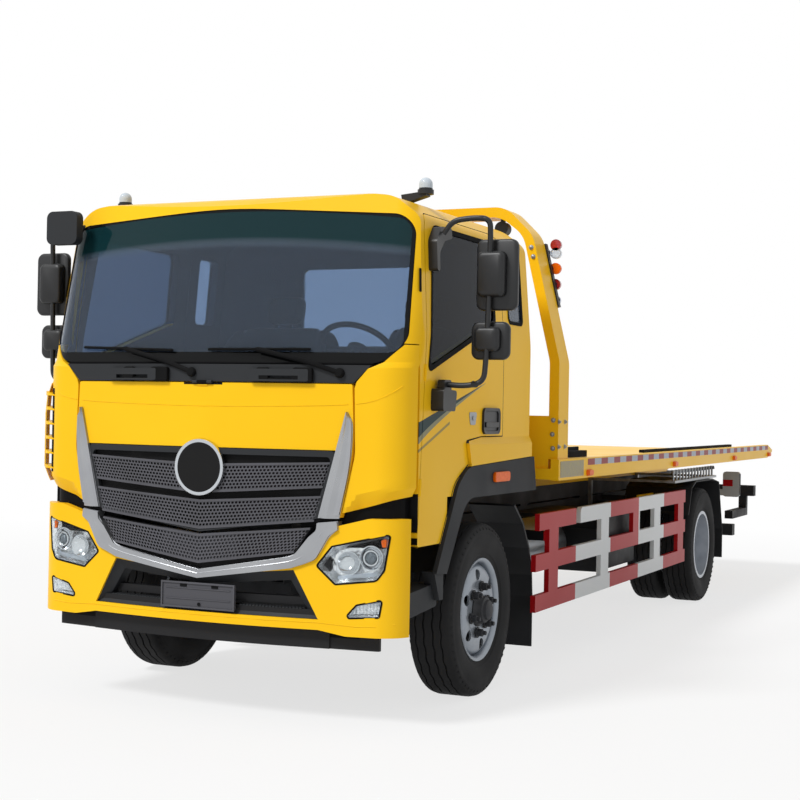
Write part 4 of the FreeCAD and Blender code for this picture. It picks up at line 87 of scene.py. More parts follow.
def swept(x):
    """How far the cab's front falls back at a distance from the centre line, and the way it faces there."""
    side = math.copysign(1, x)
    x = min(abs(x), HALF_WIDTH - 1e-4)
    middle = HALF_WIDTH - CORNER_RADIUS
    arc_end, corner_start = SWEEP_RADIUS * math.sin(SWEEP_TURN), middle + CORNER_RADIUS * math.sin(SWEEP_TURN)
    turn = math.asin(x / SWEEP_RADIUS) if x <= arc_end else SWEEP_TURN
    fall = SWEEP_RADIUS * (1 - math.cos(turn))
    if x > arc_end:
        fall += (min(x, corner_start) - arc_end) * math.tan(SWEEP_TURN)
    if x > corner_start:
        turn = math.asin((x - middle) / CORNER_RADIUS)
        fall += CORNER_RADIUS * (math.cos(SWEEP_TURN) - math.cos(turn))
    return fall, Vector((side * math.sin(turn), -math.cos(turn), 0))


def on_front(x, z, proud=0.0, nose=NOSE):
    """A point on the cab's swept front, upright to the belt and leaning back above it."""
    fall, facing = swept(x)
    lean = 0.02 + 0.24 * (z - BELT) if z > BELT else 0.0
    side = max(-HALF_WIDTH, min(HALF_WIDTH, x))
    return Vector((side, nose + fall + lean, z)) + facing * proud


def rounded(corners, radius=0.0, steps=5):
    """A closed outline whose corners are arcs, each of its own radius or else of the common one."""
    points = []
    for index, corner in enumerate(corners):
        here = Vector(corner[:2])
        bend = corner[2] if len(corner) > 2 else radius
        if not bend:
            points.append(here)
            continue
        before = (Vector(corners[index - 1][:2]) - here).normalized()
        after = (Vector(corners[(index + 1) % len(corners)][:2]) - here).normalized()
        half = before.angle(after) / 2
        reach = bend / math.tan(half)
        centre = here + (before + after).normalized() * (bend / math.sin(half))
        start, end = here + before * reach - centre, here + after * reach - centre
        for step in range(steps + 1):
            mixed = start.lerp(end, step / steps)
            points.append(centre + mixed.normalized() * bend)
    return points


def shown(name, mesh, finish, body, slot, edge=0.0, crease=35, rounds=2):
    """Puts a mesh in the scene as a named piece with its finish, its bevelled edges and its body."""
    piece = bpy.data.objects.new(name, mesh)
    bpy.context.scene.collection.objects.link(piece)
    for material in finish if isinstance(finish, (list, tuple)) else [finish]:
        mesh.materials.append(material)
    mesh.polygons.foreach_set("use_smooth", [True] * len(mesh.polygons))
    mesh.set_sharp_from_angle(angle=math.radians(crease))
    if edge:
        bevel = piece.modifiers.new("edges", "BEVEL")
        bevel.width = edge
        bevel.segments = rounds
        bevel.limit_method = "ANGLE"
        bevel.angle_limit = math.radians(crease)
        bevel.harden_normals = True
    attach(piece, body)
    return piece


def closed(work, name):
    """A mesh from a bmesh, with doubles merged and its faces turned outwards."""
    bmesh.ops.remove_doubles(work, verts=work.verts, dist=1e-6)
    bmesh.ops.recalc_face_normals(work, faces=work.faces)
    mesh = bpy.data.meshes.new(name)
    work.to_mesh(mesh)
    work.free()
    return mesh


def lofted(work, rings, caps=True):
    """Skins rings of equal counts one to the next."""
    rows = [[work.verts.new(point) for point in ring] for ring in rings]
    count = len(rows[0])
    for near, far in zip(rows, rows[1:]):
        for index in range(count):
            after = (index + 1) % count
            work.faces.new((near[index], near[after], far[after], far[index]))
    if caps:
        for row in (rows[0][::-1], rows[-1]):
            work.faces.new(row)
    return rows


def plate(work, outline, place, low, high):
    """An outline made solid: place(u, v, level) gives each point of its two faces."""
    lofted(work, [[place(point[0], point[1], level) for point in outline] for level in (low, high)])


def across(u, v, level):
    """A point on an upright plane that faces ahead."""
    return Vector((u, level, v))


def flat(u, v, level):
    """A point on a level plane."""
    return Vector((u, v, level))


def box_corners(low, high, radius=0.0, steps=5):
    """A rectangle's outline, with its corners rounded if a radius is given."""
    corners = [(low[0], low[1]), (high[0], low[1]), (high[0], high[1]), (low[0], high[1])]
    return rounded(corners, radius, steps) if radius else corners


def brick(work, low, high):
    """A plain block between two opposite corners."""
    plate(work, box_corners(low, high), flat, low[2], high[2])


def sides_of(points, radius):
    """A round section's frames carried along a path without twist."""
    frames = []
    ways = [(after - before).normalized() for before, after in zip(points, points[1:])]
    tangents = [ways[0]] + [(a + b).normalized() for a, b in zip(ways, ways[1:])] + [ways[-1]]
    normal = tangents[0].orthogonal().normalized()
    for index, (point, tangent) in enumerate(zip(points, tangents)):
        normal = (normal - tangent * normal.dot(tangent)).normalized()
        widen = 1.0
        if 0 < index < len(points) - 1:
            widen = 1 / max(0.5, math.cos(ways[index - 1].angle(ways[index]) / 2))
        frames.append((point, normal * radius, tangent.cross(normal) * radius * widen))
    return frames


def ring_of(middle, first, second, sides):
    """Points round a circle, from its middle and two radii."""
    turns = [2 * math.pi * index / sides for index in range(sides)]
    return [middle + first * math.cos(turn) + second * math.sin(turn) for turn in turns]


def tube(work, points, radius, sides=14):
    """A round bar along a path, closed at both ends."""
    frames = sides_of([Vector(point) for point in points], radius)
    lofted(work, [ring_of(*around, sides) for around in frames])


def bent(corners, radius, steps=6):
    """A path through corners with each inner corner rounded."""
    corners = [Vector(corner) for corner in corners]
    path = [corners[0]]
    for before, here, after in zip(corners, corners[1:], corners[2:]):
        reach = min(radius, (before - here).length / 2, (after - here).length / 2)
        start = here + (before - here).normalized() * reach
        end = here + (after - here).normalized() * reach
        for step in range(steps + 1):
            share = step / steps
            path.append(start.lerp(here, share).lerp(here.lerp(end, share), share))
    return path + [corners[-1]]


def turned(work, profile, centre, axis, sides=48, ends=True):
    """A turned form: (distance along the axis, radius) pairs carried round it."""
    axis = Vector(axis).normalized()
    first = axis.orthogonal().normalized()
    second = axis.cross(first)
    rings = []
    for distance, radius in profile:
        reach = max(radius, 1e-5)
        rings.append(ring_of(Vector(centre) + axis * distance, first * reach, second * reach, sides))
    return lofted(work, rings, caps=ends)


def mirrored(work):
    """Moves a shape from the truck's left side to its right."""
    bmesh.ops.scale(work, vec=(-1, 1, 1), verts=work.verts)


def both(shape, name, finish, body, slot, **options):
    """The same piece made on the left and on the right side of the truck."""
    pieces = []
    for index, (side, way) in enumerate(SIDES):
        work = bmesh.new()
        shape(work)
        if way < 0:
            mirrored(work)
        rider = body[index] if isinstance(body, tuple) else body
        pieces.append(shown(f"{name}_{side}", closed(work, name), finish, rider, slot, **options))
    return pieces


def single(shape, name, finish, body, slot, **options):
    """One piece made by a function that fills a bmesh."""
    work = bmesh.new()
    shape(work)
    return shown(name, closed(work, name), finish, body, slot, **options)


def alongside(outer, inner, step=0.05):
    """Two like outlines with points added along their long sides, so that they can follow the swept front."""
    paths = [], []
    for index, point in enumerate(outer):
        after = (index + 1) % len(outer)
        count = max(1, round((outer[after] - point).length / step))
        for path, ring in zip(paths, (outer, inner)):
            path += [ring[index].lerp(ring[after], share / count) for share in range(count)]
    return paths


def frame_ring(work, outer, inner, place, top, inner_top=None):
    """A flat band between two like outlines, raised to a height above the surface that place follows."""
    outer, inner = alongside(outer, inner, 0.1)
    levels = ((outer, -0.002), (outer, top), (inner, top if inner_top is None else inner_top),
              (inner, -0.002), (outer, -0.002))
    lofted(work, [[place(p.x, p.y, level) for p in ring] for ring, level in levels], caps=False)


def slab(outline, place, low, high):
    """A piece that is one plate on a surface, for both() to make on each side."""
    return lambda work: plate(work, outline, place, low, high)


def pressed_line(heights, nose=NOSE):
    """A fine line pressed in the front's skin through (x, z) places given in millimetres."""
    path = [on_front(x / 1000, z / 1000, 0.0, nose) for x, z in heights]
    return lambda work: tube(work, path, LINE_RADIUS, sides=6)


# Node trees, and the pieces that repeat

def add(tree, kind, inputs=None, **settings):
    """Adds a node, applies its settings, and fills its inputs from values or from other nodes."""
    made = tree.nodes.new(kind)
    for name, value in settings.items():
        setattr(made, name, value)
    for name, value in (inputs or {}).items():
        socket = made.inputs[name]
        if isinstance(value, bpy.types.NodeSocket):
            tree.links.new(value, socket)
        else:
            socket.default_value = value
    return made


def tree_with(name, **sizes):
    """A tree with a geometry input, named inputs for its sizes, and a finish. Gives its inputs too."""
    tree = bpy.data.node_groups.new(name, "GeometryNodeTree")
    for label, kind in {"Geometry": "Geometry", **sizes, "Finish": "Material"}.items():
        tree.interface.new_socket(label, in_out="INPUT", socket_type="NodeSocket" + kind)
    tree.interface.new_socket("Geometry", in_out="OUTPUT", socket_type="NodeSocketGeometry")
    return tree, add(tree, "NodeGroupInput").outputs


def ended(tree, copies, given):
    """Ends a tree: the copies are made real and get the finish that the input names."""
    real = add(tree, "GeometryNodeRealizeInstances", {"Geometry": copies.outputs["Instances"]})
    dressed = add(tree, "GeometryNodeSetMaterial",
                  {"Geometry": real.outputs["Geometry"], "Material": given["Finish"]})
    add(tree, "NodeGroupOutput", {"Geometry": dressed.outputs["Geometry"]})
    return tree


def stamping():
    """A tree that sets one tool on every point, turned to face the point's own way."""
    tree, given = tree_with("stamped pieces", Tool="Object", Width="Float", Length="Float", Height="Float")
    facing, upright = [add(tree, "GeometryNodeInputNamedAttribute", {"Name": name}, data_type="FLOAT_VECTOR")
                       for name in ("facing", "upright")]
    turn = add(tree, "FunctionNodeAxesToRotation",
               {0: facing.outputs["Attribute"], 1: upright.outputs["Attribute"]},
               primary_axis="Z", secondary_axis="Y")
    scale = add(tree, "ShaderNodeCombineXYZ",
                {"X": given["Width"], "Y": given["Length"], "Z": given["Height"]})
    tool = add(tree, "GeometryNodeObjectInfo", {"Object": given["Tool"]})
    spots = add(tree, "GeometryNodeMeshToPoints", {"Mesh": given["Geometry"]})
    copies = add(tree, "GeometryNodeInstanceOnPoints",
                 {"Points": spots.outputs["Points"], "Instance": tool.outputs["Geometry"],
                  "Rotation": turn.outputs["Rotation"], "Scale": scale.outputs["Vector"]})
    return ended(tree, copies, given)


def perforating():
    """A tree that tiles a flat plate with round holes in staggered rows."""
    tree, given = tree_with("perforated plate", Columns="Int", Rows="Int", Stagger="Float")
    column = add(tree, "GeometryNodeMeshLine", {"Count": given["Rows"], "Offset": (0, 1, 0)})
    row = add(tree, "GeometryNodeMeshLine", {"Count": given["Columns"], "Offset": (1, 0, 0)})
    tiled = add(tree, "GeometryNodeInstanceOnPoints",
                {"Points": row.outputs["Mesh"], "Instance": given["Geometry"]})
    number = Value(tree, add(tree, "GeometryNodeInputIndex").outputs["Index"])
    step = number.step("MODULO", 2.0) * given["Stagger"]
    shift = add(tree, "ShaderNodeCombineXYZ", {"X": step.socket})
    moved = add(tree, "GeometryNodeSetPosition", {"Geometry": column.outputs["Mesh"],
                                                  "Offset": shift.outputs["Vector"]})
    copies = add(tree, "GeometryNodeInstanceOnPoints",
                 {"Points": moved.outputs["Geometry"], "Instance": tiled.outputs["Instances"]})
    return ended(tree, copies, given)


class Value:
    """A value in a node tree, so that a mask is written as plain arithmetic."""

    def __init__(self, tree, socket):
        self.tree, self.socket = tree, socket

    def step(self, operation, *others):
        """One step of arithmetic with other values, sockets or numbers."""
        given = [getattr(value, "socket", value) for value in (self, *others)]
        made = add(self.tree, "ShaderNodeMath", dict(enumerate(given)), operation=operation)
        return Value(self.tree, made.outputs["Value"])

    def __add__(self, other):
        return self.step("ADD", other)

    def __mul__(self, other):
        return self.step("MULTIPLY", other)

    def __sub__(self, other):
        return self.step("SUBTRACT", other)

    def __rsub__(self, number):
        return self * -1.0 + number

    def __abs__(self):
        return self.step("ABSOLUTE")

    # A comparison gives a mask: one where it holds, and zero where it doesn't
    def __gt__(self, limit):
        return self.step("GREATER_THAN", limit)

    def __lt__(self, limit):
        return self.step("LESS_THAN", limit)

    def most(self, other):
        """The larger of two values, and for two masks the area of both."""
        return self.step("MAXIMUM", other)

    def between(self, low, high):
        """One between two limits, and zero outside them."""
        return (self > low) * (self < high)


def evaluated(host, tree, settings, name):
    """Runs a tree on a host, and returns the result as a plain mesh."""
    modifier = host.modifiers.new("repeat", "NODES")
    modifier.node_group = tree
    for item in tree.interface.items_tree:
        if item.in_out == "INPUT" and item.name in settings:
            modifier[item.identifier] = settings[item.name]
    bpy.context.view_layer.update()
    depsgraph = bpy.context.evaluated_depsgraph_get()
    mesh = bpy.data.meshes.new_from_object(host.evaluated_get(depsgraph))
    mesh.name = name
    bpy.data.objects.remove(host)
    return mesh


STAMP = stamping()
PERFORATE = perforating()


def stamped(name, tool, places, size, finish, body, slot):
    """Many copies of one small tool at (point, facing, upright) places, as one piece."""
    spots = bpy.data.meshes.new(name + "_places")
    spots.from_pydata([place[0] for place in places], [], [])
    for label, index in (("facing", 1), ("upright", 2)):
        layer = spots.attributes.new(label, "FLOAT_VECTOR", "POINT")
        layer.data.foreach_set("vector", [value for place in places for value in place[index]])
    host = bpy.data.objects.new(name + "_host", spots)
    maker = bpy.data.objects.new(name + "_tool", tool)
    for made in (host, maker):
        bpy.context.scene.collection.objects.link(made)
    width, length, height = size
    mesh = evaluated(host, STAMP, {"Tool": maker, "Width": width, "Length": length, "Height": height,
                                   "Finish": finish}, name)
    bpy.data.objects.remove(maker)
    mesh.materials.clear()
    return shown(name, mesh, finish, body, slot)


def tool_of(name, *forms):
    """A small tool from (profile, sides) pairs turned round its own upright axis."""
    work = bmesh.new()
    for profile, sides in forms:
        turned(work, profile, (0, 0, 0), UP, sides=sides)
    return closed(work, name)


def block_tool():
    """A unit block, for tread lugs, tape patches and the lever bar."""
    work = bmesh.new()
    brick(work, (-0.5, -0.5, -0.5), (0.5, 0.5, 0.5))
    return closed(work, "block")


def nut_tool():
    """A wheel nut on its washer with a stud's end standing out, one high and one across."""
    return tool_of("nut", ([(0.0, 0.72), (0.12, 0.72), (0.13, 0.5)], 16),
                   ([(0.1, 0.5), (0.62, 0.5), (0.68, 0.42)], 6),
                   ([(0.6, 0.28), (0.97, 0.28), (1.0, 0.24)], 12))


def dome_tool():
    """A round dome, one high and two across."""
    return tool_of("dome", ([(0, 1), (0.45, 1), (0.65, 0.93), (0.82, 0.75), (0.94, 0.45), (1, 0)], 20))


def marker_tool():
    """A side marker's lens: a rounded oblong that narrows towards its face."""
    work = bmesh.new()
    outline = box_corners((-0.5, -0.5), (0.5, 0.5), 0.3)
    lofted(work, [[Vector((p.x * share, p.y * share, level)) for p in outline]
                  for level, share in ((0, 1), (0.6, 0.96), (1, 0.8))])
    return closed(work, "marker")


# Materials

def linear(code):
    """An sRGB hex colour as linear red, green, blue and alpha."""
    values = [int(code[place:place + 2], 16) / 255 for place in (0, 2, 4)]
    return tuple(v / 12.92 if v <= 0.04045 else ((v + 0.055) / 1.055) ** 2.4 for v in values) + (1.0,)


def finish(name, colour, other=None, patch=0.3, rough=0.5, spread=0.1, grain=0.0, depth=0.0,
           stretch=(1, 1, 1), **shader_values):
    """A material whose colour drifts over patches, whose roughness varies, and whose surface has a grain.

    patch and grain are real sizes in metres, and depth is the height of the grain in metres."""
    material = bpy.data.materials.new(name)
    material.use_nodes = True
    tree = material.node_tree
    tree.nodes.clear()
    place = add(tree, "ShaderNodeTexCoord")
    drift = add(tree, "ShaderNodeTexNoise",
                {"Vector": place.outputs["Object"], "Scale": 1 / patch, "Detail": 3.0})
    ease = add(tree, "ShaderNodeMapRange",
               {"Value": drift.outputs["Fac"], "From Min": 0.35, "From Max": 0.65})
    tint = add(tree, "ShaderNodeMix", {"Factor": ease.outputs["Result"], "A": linear(colour),
                                       "B": linear(other or colour)}, data_type="RGBA")
    wear = add(tree, "ShaderNodeMapRange",
               {"Value": drift.outputs["Fac"], "From Min": 0.3, "From Max": 0.7,
                "To Min": max(0.02, rough - spread), "To Max": min(1, rough + spread)})
    shader = add(tree, "ShaderNodeBsdfPrincipled", {"Base Color": tint.outputs["Result"],
                                                    "Roughness": wear.outputs["Result"]})
    for label, value in shader_values.items():
        shader.inputs[label.replace("_", " ")].default_value = value
    if grain:
        turn = add(tree, "ShaderNodeMapping", {"Vector": place.outputs["Object"], "Scale": stretch})
        fine = add(tree, "ShaderNodeTexNoise",
                   {"Vector": turn.outputs["Vector"], "Scale": 1 / grain, "Detail": 2.0})
        bump = add(tree, "ShaderNodeBump", {"Height": fine.outputs["Fac"], "Distance": depth,
                                            "Strength": 1.0})
        tree.links.new(bump.outputs["Normal"], shader.inputs["Normal"])
    add(tree, "ShaderNodeOutputMaterial", {"Surface": shader.outputs["BSDF"]})
    return material


def parts_of(material):
    """A finish's tree, its shader and its place node."""
    tree = material.node_tree
    return (tree, next(n for n in tree.nodes if n.type == "BSDF_PRINCIPLED"),
            next(n for n in tree.nodes if n.type == "TEX_COORD"))


def overlaid(material, mask, colour, rough=None, metallic=None):
    """Lays a second colour, roughness and metallic value over a finish where a mask is one."""
    tree, shader, _ = parts_of(material)

    def mixed(label, kind, other):
        """Mixes an input's old value or link with a new value."""
        socket = shader.inputs[label]
        was = socket.links[0].from_socket if socket.links else socket.default_value
        made = add(tree, "ShaderNodeMix", {"Factor": mask.socket, "A": was, "B": other}, data_type=kind)
        tree.links.new(made.outputs["Result"], socket)

    mixed("Base Color", "RGBA", linear(colour))
    for label, value in (("Roughness", rough), ("Metallic", metallic)):
        if value is not None:
            mixed(label, "FLOAT", value)


def inside_of(material, centre):
    """One where a shell's face looks in towards a centre, and zero where it looks out."""
    tree, _, place = parts_of(material)
    spoke = add(tree, "ShaderNodeVectorMath", {0: place.outputs["Object"], 1: centre}, operation="SUBTRACT")
    facing = add(tree, "ShaderNodeVectorMath", {0: spoke.outputs["Vector"], 1: place.outputs["Normal"]},
                 operation="DOT_PRODUCT")
    return Value(tree, facing.outputs["Value"]) < 0.0


def axes_of(material):
    """The x, y and z of a finish's Object coordinates."""
    tree, _, place = parts_of(material)
    apart = add(tree, "ShaderNodeSeparateXYZ", {"Vector": place.outputs["Object"]})
    return [Value(tree, apart.outputs[axis]) for axis in "XYZ"]


def enamel(name, colour, other):
    """Two-pack acrylic enamel, sprayed on pressed steel: deep colour, a soft gloss and faint orange peel."""
    return finish(name, colour, other, patch=0.9, rough=0.36, spread=0.05, grain=0.006, depth=0.00004,
                  Coat_Weight=0.1, Coat_Roughness=0.08, Coat_IOR=1.35, IOR=1.3, Specular_IOR_Level=0.2)


def moulding(name, colour, other, rough=0.42, spread=0.06, patch=0.2, depth=0.00004, shine=0.4):
    """Injection-moulded plastic with a spark-eroded grain of 2 mm, which breaks up what it mirrors."""
    return finish(name, colour, other, patch=patch, rough=rough, spread=spread, grain=0.002, depth=depth,
                  Specular_IOR_Level=shine)


def chassis_paint(name):
    """Chassis paint, brushed thick on steel: satin black with patches of road dust."""
    return finish(name, "121315", "1B1C1F", patch=0.25, rough=0.6, spread=0.12, grain=0.004, depth=0.0002,
                  Specular_IOR_Level=0.3)


def reflective_film(name, colour, other):
    """Embossed reflective tape: flat colour that doesn't shine by day."""
    return finish(name, colour, other, patch=0.01, rough=0.4, spread=0.06, Specular_IOR_Level=0.2)


def glass(name, colour, ior):
    """Float glass: clear, tinted through, with a face that mirrors a little."""
    return finish(name, colour, colour, rough=0.02, spread=0.0, Transmission_Weight=1.0, IOR=ior)


# Acrylic enamel, sprayed: the same warm yellow outside on the bed, the cab and the flap
yellow_enamel = enamel("yellow enamel", "F9C41C", "F6BF18")
cab_enamel = enamel("cab enamel", "F9C41C", "F6BF18")
flap_enamel = enamel("flap enamel", "F9C41C", "F6BF18")
# Acrylic enamel, sprayed: the guards' signal red, which takes white bands
guard_enamel = enamel("guard enamel", "B0161C", "A61218")
# Chassis paint, brushed: on the frame, and on the rear lamp panel, whose face and lens are laid over it
chassis_black = chassis_paint("chassis black")
lamp_panel = chassis_paint("lamp panel steel")
# Polypropylene, moulded with a coarse grain: dark grey and dull
grained_plastic = finish("grained plastic", "1F2124", "26282B", patch=0.4, rough=0.66, spread=0.08,
                         grain=0.0022, depth=0.00012, Specular_IOR_Level=0.3)
# ABS, moulded: the slats' mid grey with a low sheen
grille_plastic = moulding("grille plastic", "48484D", "4F4F55", rough=0.5, patch=0.3, depth=0.00005)
# ABS, moulded: the mirrors' near black, which keeps a soft highlight on its domes
mirror_plastic = moulding("mirror plastic", "17181A", "1D1E20")
# ABS, moulded: the beacons' black feet, under clear caps
beacon_plastic = moulding("beacon plastic", "17181A", "1D1E20")
# ABS, moulded: the hoop's black lamp bars, under coloured domes
bar_plastic = moulding("lamp bar plastic", "141517", "1A1B1D", rough=0.45)
# EPDM rubber, and painted shade in deep recesses, holes and slots: no light comes back from them
black_rubber_and_shade = finish("black rubber and painted shade", "060607", "0B0B0C", patch=0.2, rough=0.85, spread=0.1,
                    Specular_IOR_Level=0.15)
# ABS, moulded: the dark body behind the slats, with the disc's chromed edge laid over it
grille_black = finish("grille black", "09090A", "101011", patch=0.2, rough=0.7, spread=0.1,
                      Specular_IOR_Level=0.2)
# Polypropylene, moulded: the skirt and mouth near black, with the plate carrier a lighter grey
skirt_plastic = moulding("skirt plastic", "141416", "1A1A1C", rough=0.6, spread=0.08, patch=0.3,
                         depth=0.00008, shine=0.25)
# Metallic paint, sprayed on ABS: bright grey with a soft sheen
silver_paint = finish("silver paint", "A7A9AC", "9C9EA2", patch=0.3, rough=0.3, spread=0.05, grain=0.0015,
                      depth=0.00003, Metallic=0.75)
# Chrome, plated: a near perfect mirror for the mirrors' glass, the lamps' rings and the disc's edge
chrome = finish("chrome plate", "D8DADC", "CED1D4", patch=0.2, rough=0.08, spread=0.03, Metallic=1.0)
# Wheel paint, sprayed on pressed steel: a darker silver in front and a brighter one behind
wheel_silver = finish("wheel silver", "8E959E", "9BA2AA", patch=0.12, rough=0.38, spread=0.08, grain=0.003,
                      depth=0.00008, Metallic=0.55)
wheel_bright = finish("rear wheel silver", "B4BAC2", "C2C7CE", patch=0.12, rough=0.34, spread=0.08,
                      grain=0.003, depth=0.00008, Metallic=0.45)
# Cast steel, left rough from the sand: dark, uneven and half matt
cast_steel = finish("cast steel", "2A2B2D", "35363A", patch=0.08, rough=0.6, spread=0.12, grain=0.004,
                    depth=0.0003, Metallic=0.4)
# Steel, hot-dip galvanised: pale grey whose spangle shows as 50 mm patches
galvanised = finish("galvanised steel", "8D9093", "A2A5A8", patch=0.05, rough=0.42, spread=0.1, Metallic=0.8)
# Aluminium sheet, brushed round the tank: streaks that stretch the highlight
brushed_tank = finish("brushed aluminium", "8B8F93", "9EA2A6", patch=0.3, rough=0.34, spread=0.08,
                      grain=0.002, depth=0.00006, stretch=(1, 0.05, 1), Metallic=0.9)
# Tyre rubber, vulcanised: black gone grey with dust, without a highlight
tyre_rubber = finish("tyre rubber", "1B1B1C", "262627", patch=0.2, rough=0.82, spread=0.1, grain=0.003,
                     depth=0.0002, Specular_IOR_Level=0.25)
# Steel rope, wound: greased strands drawn 4 mm apart, coarser than the real ones, so that they show
rope_steel = finish("wire rope", "6C6E70", "55575A", patch=0.01, rough=0.45, spread=0.1, grain=0.004,
                    depth=0.0012, stretch=(3, 1, 1), Metallic=0.8)
# Hard chrome, ground on the cylinders' rods: a bright line along each of them
cylinder_chrome = finish("hard chrome", "C9CCD0", "BFC2C6", patch=0.3, rough=0.12, spread=0.04, Metallic=1.0)
# Polyester seat cloth, woven: a 3 mm rib drawn a little coarser than the real thread, so that it shows
seat_cloth = finish("seat cloth", "3A3C40", "2F3134", patch=0.02, rough=0.9, spread=0.05, grain=0.003,
                    depth=0.0006, stretch=(1, 3, 1), Sheen_Weight=0.4, Sheen_Roughness=0.4)
# Laminated glass, floated: a blue-grey view into the cab, with a faint blue-grey haze of painted reflection
# laid on by screen_border
screen_glass = glass("screen glass", "A2B4CB", 1.25)
# Toughened glass, floated and tinted through: dark, with the cab only just seen
side_glass = glass("side glass", "4A5C74", 1.12)
# Polycarbonate, moulded clear over the lamps
lamp_cover = glass("lamp cover", "F7FAFB", 1.2)
# Polycarbonate, moulded in amber: an even orange with a matt prism face
amber_lens = finish("amber lens", "F26A00", "E86200", patch=0.02, rough=0.35, spread=0.04,
                    Specular_IOR_Level=0.2)
# Polycarbonate, moulded in red: deep, glossy and partly clear
red_lens = finish("red lens", "B3121C", "C01822", patch=0.02, rough=0.18, spread=0.04,
                  Transmission_Weight=0.35, Coat_Weight=0.6)
# Polycarbonate, moulded clear: frosted white from the prisms inside
clear_lens = finish("clear lens", "D9E2EC", "E6EDF4", patch=0.02, rough=0.1, spread=0.04,
                    Transmission_Weight=0.6)
# Optical glass, pressed: the projector's dark, shining eye
projector_glass = finish("projector glass", "6E7880", "59636B", patch=0.02, rough=0.05, spread=0.02,
                         Metallic=0.3, Coat_Weight=0.6)
# Aluminium, vapour-coated on facets of 14 mm: broken bright patches inside the lamps
reflector = finish("lamp reflector", "E6EAEE", "FFFFFF", patch=0.012, rough=0.16, spread=0.06, grain=0.014,
                   depth=0.004, Metallic=0.8)
# Reflective film, embossed: the rails' tape, dull red and cool silver in turn
reflective_red = reflective_film("red reflective tape", "94201F", "861B1B")
reflective_silver = reflective_film("silver reflective tape", "AEB4BE", "A2A8B3")
# Bronze sheet, stamped: dull brown gold
data_plate = finish("bronze plate", "7D7350", "958A62", patch=0.03, rough=0.4, spread=0.1, Metallic=0.6)


# Colours laid over the finishes where the truck changes colour without a seam, and painted shade and painted
# reflection where they stand in for light. The limits are metres in the truck's own frame, read off the
# pieces whose edges they follow.

CAB_MIDDLE = (0, back(-0.2), 1.95)
# Painted shade: the near black laid where the panels' gaps and the flap's opening fall in shade
GAP_SHADE = "08080A"


def cab_inside():
    """The shell and the doors are dark trim on their inner side."""
    overlaid(cab_enamel, inside_of(cab_enamel, CAB_MIDDLE), "3B4250", rough=0.75)


def shade_in_gaps():
    """Near black as painted shade: the shell's parts behind the panels' gaps, and the flap's opening, its
    lowest strip and its sleeve.
    """
    _, y, z = axes_of(cab_enamel)
    behind_flap = (y < back(-1.0315)) * (z < 1.222)
    under_screen = z.between(1.83, 1.9) * (y < back(-1.15))
    overlaid(cab_enamel, behind_flap.most(under_screen), GAP_SHADE, rough=0.8)
    x, _, z = axes_of(flap_enamel)
    opening = (abs(x) < z * 0.27 + (0.68 - 1.086 * 0.27)) * (z < 1.4415)
    sleeve = (abs(x) < 0.12) * (z > 1.774)
    overlaid(flap_enamel, opening.most(z < 1.095).most(sleeve), GAP_SHADE, rough=0.8)


def door_film():
    """A teal swoosh from the door's front edge to its handle, its grey shadow, and a fainter streak."""
    x, y, z = axes_of(cab_enamel)
    run = (y - back(-1.095)) * (1 / 1.004)
    outboard = abs(x) > 1.14
    kept = outboard * run.between(0.05, 1.0)
    upper = run * 0.241 + 1.581
    lower = run.most(0.001).step("POWER", 0.78) * 0.344 + 1.478
    shadow_low = lower - (run * -0.034 + 0.036)
    overlaid(cab_enamel, z.between(shadow_low, lower) * kept, "8C8A6C")
    overlaid(cab_enamel, z.between(lower, upper) * kept, "0B2F30")
    streak = (z - (run * 0.357 + 1.416)).between(0.0, 0.016) * run.between(0.055, 0.47)
    overlaid(cab_enamel, streak * outboard, "A08A4A")


def lens_caps():
    """Clear caps on the roof's beacons, and coloured domes on the hoop's lamp bars."""
    _, _, z = axes_of(beacon_plastic)
    overlaid(beacon_plastic, z > 2.874, "C3CDD6", rough=0.08)
    x, y, z = axes_of(bar_plastic)
    domes = (y > back(1.212)) * (abs(x) > 0.9)
    for low, high, colour in ((2.3, 2.447, "C9D0E4"), (2.447, 2.553, "A3161F"), (2.553, 2.66, "D9630F"),
                              (2.66, 2.9, "D8D8DA")):
        overlaid(bar_plastic, domes * z.between(low, high), colour, rough=0.15)


def guard_stripes():
    """White bands along the red side guards, and their inner side near black: painted shade under the truck.
    """
    x, y, _ = axes_of(guard_enamel)
    outboard = abs(x) > 1.163
    bands = y.between(back(1.50), back(2.31)) + y.between(back(3.06), back(3.82))
    overlaid(guard_enamel, bands * outboard, "D9DCDD")
    # The inner side takes near black as painted shade under the truck
    overlaid(guard_enamel, 1.0 - outboard, "17181A", rough=0.6)


def carrier_grey():
    """The plate carrier stands lighter on the black skirt."""
    x, y, z = axes_of(skirt_plastic)
    overlaid(skirt_plastic, (abs(x) < 0.234) * (z > 0.572) * (y < back(-1.295)), "4A4A4F", rough=0.5)


def disc_edge():
    """The bare disc's chromed edge."""
    x, y, z = axes_of(grille_black)
    tall = z - EMBLEM_HIGH
    reach = (x * x + tall * tall).step("SQRT")
    overlaid(grille_black, reach.between(0.133, 0.149) * (y < NOSE - 0.02), "C4C9CE", rough=0.12,
             metallic=0.95)


def rear_lamp_face():
    """The rear lamp panel's light face with its red lens."""
    x, _, z = axes_of(lamp_panel)
    side = abs(x)
    overlaid(lamp_panel, z.between(0.852, 1.098) * side.between(0.93, 1.168), "A9AEB2", rough=0.4)
    overlaid(lamp_panel, z.between(0.955, 1.02) * side.between(0.98, 1.1), "A5161D", rough=0.2)


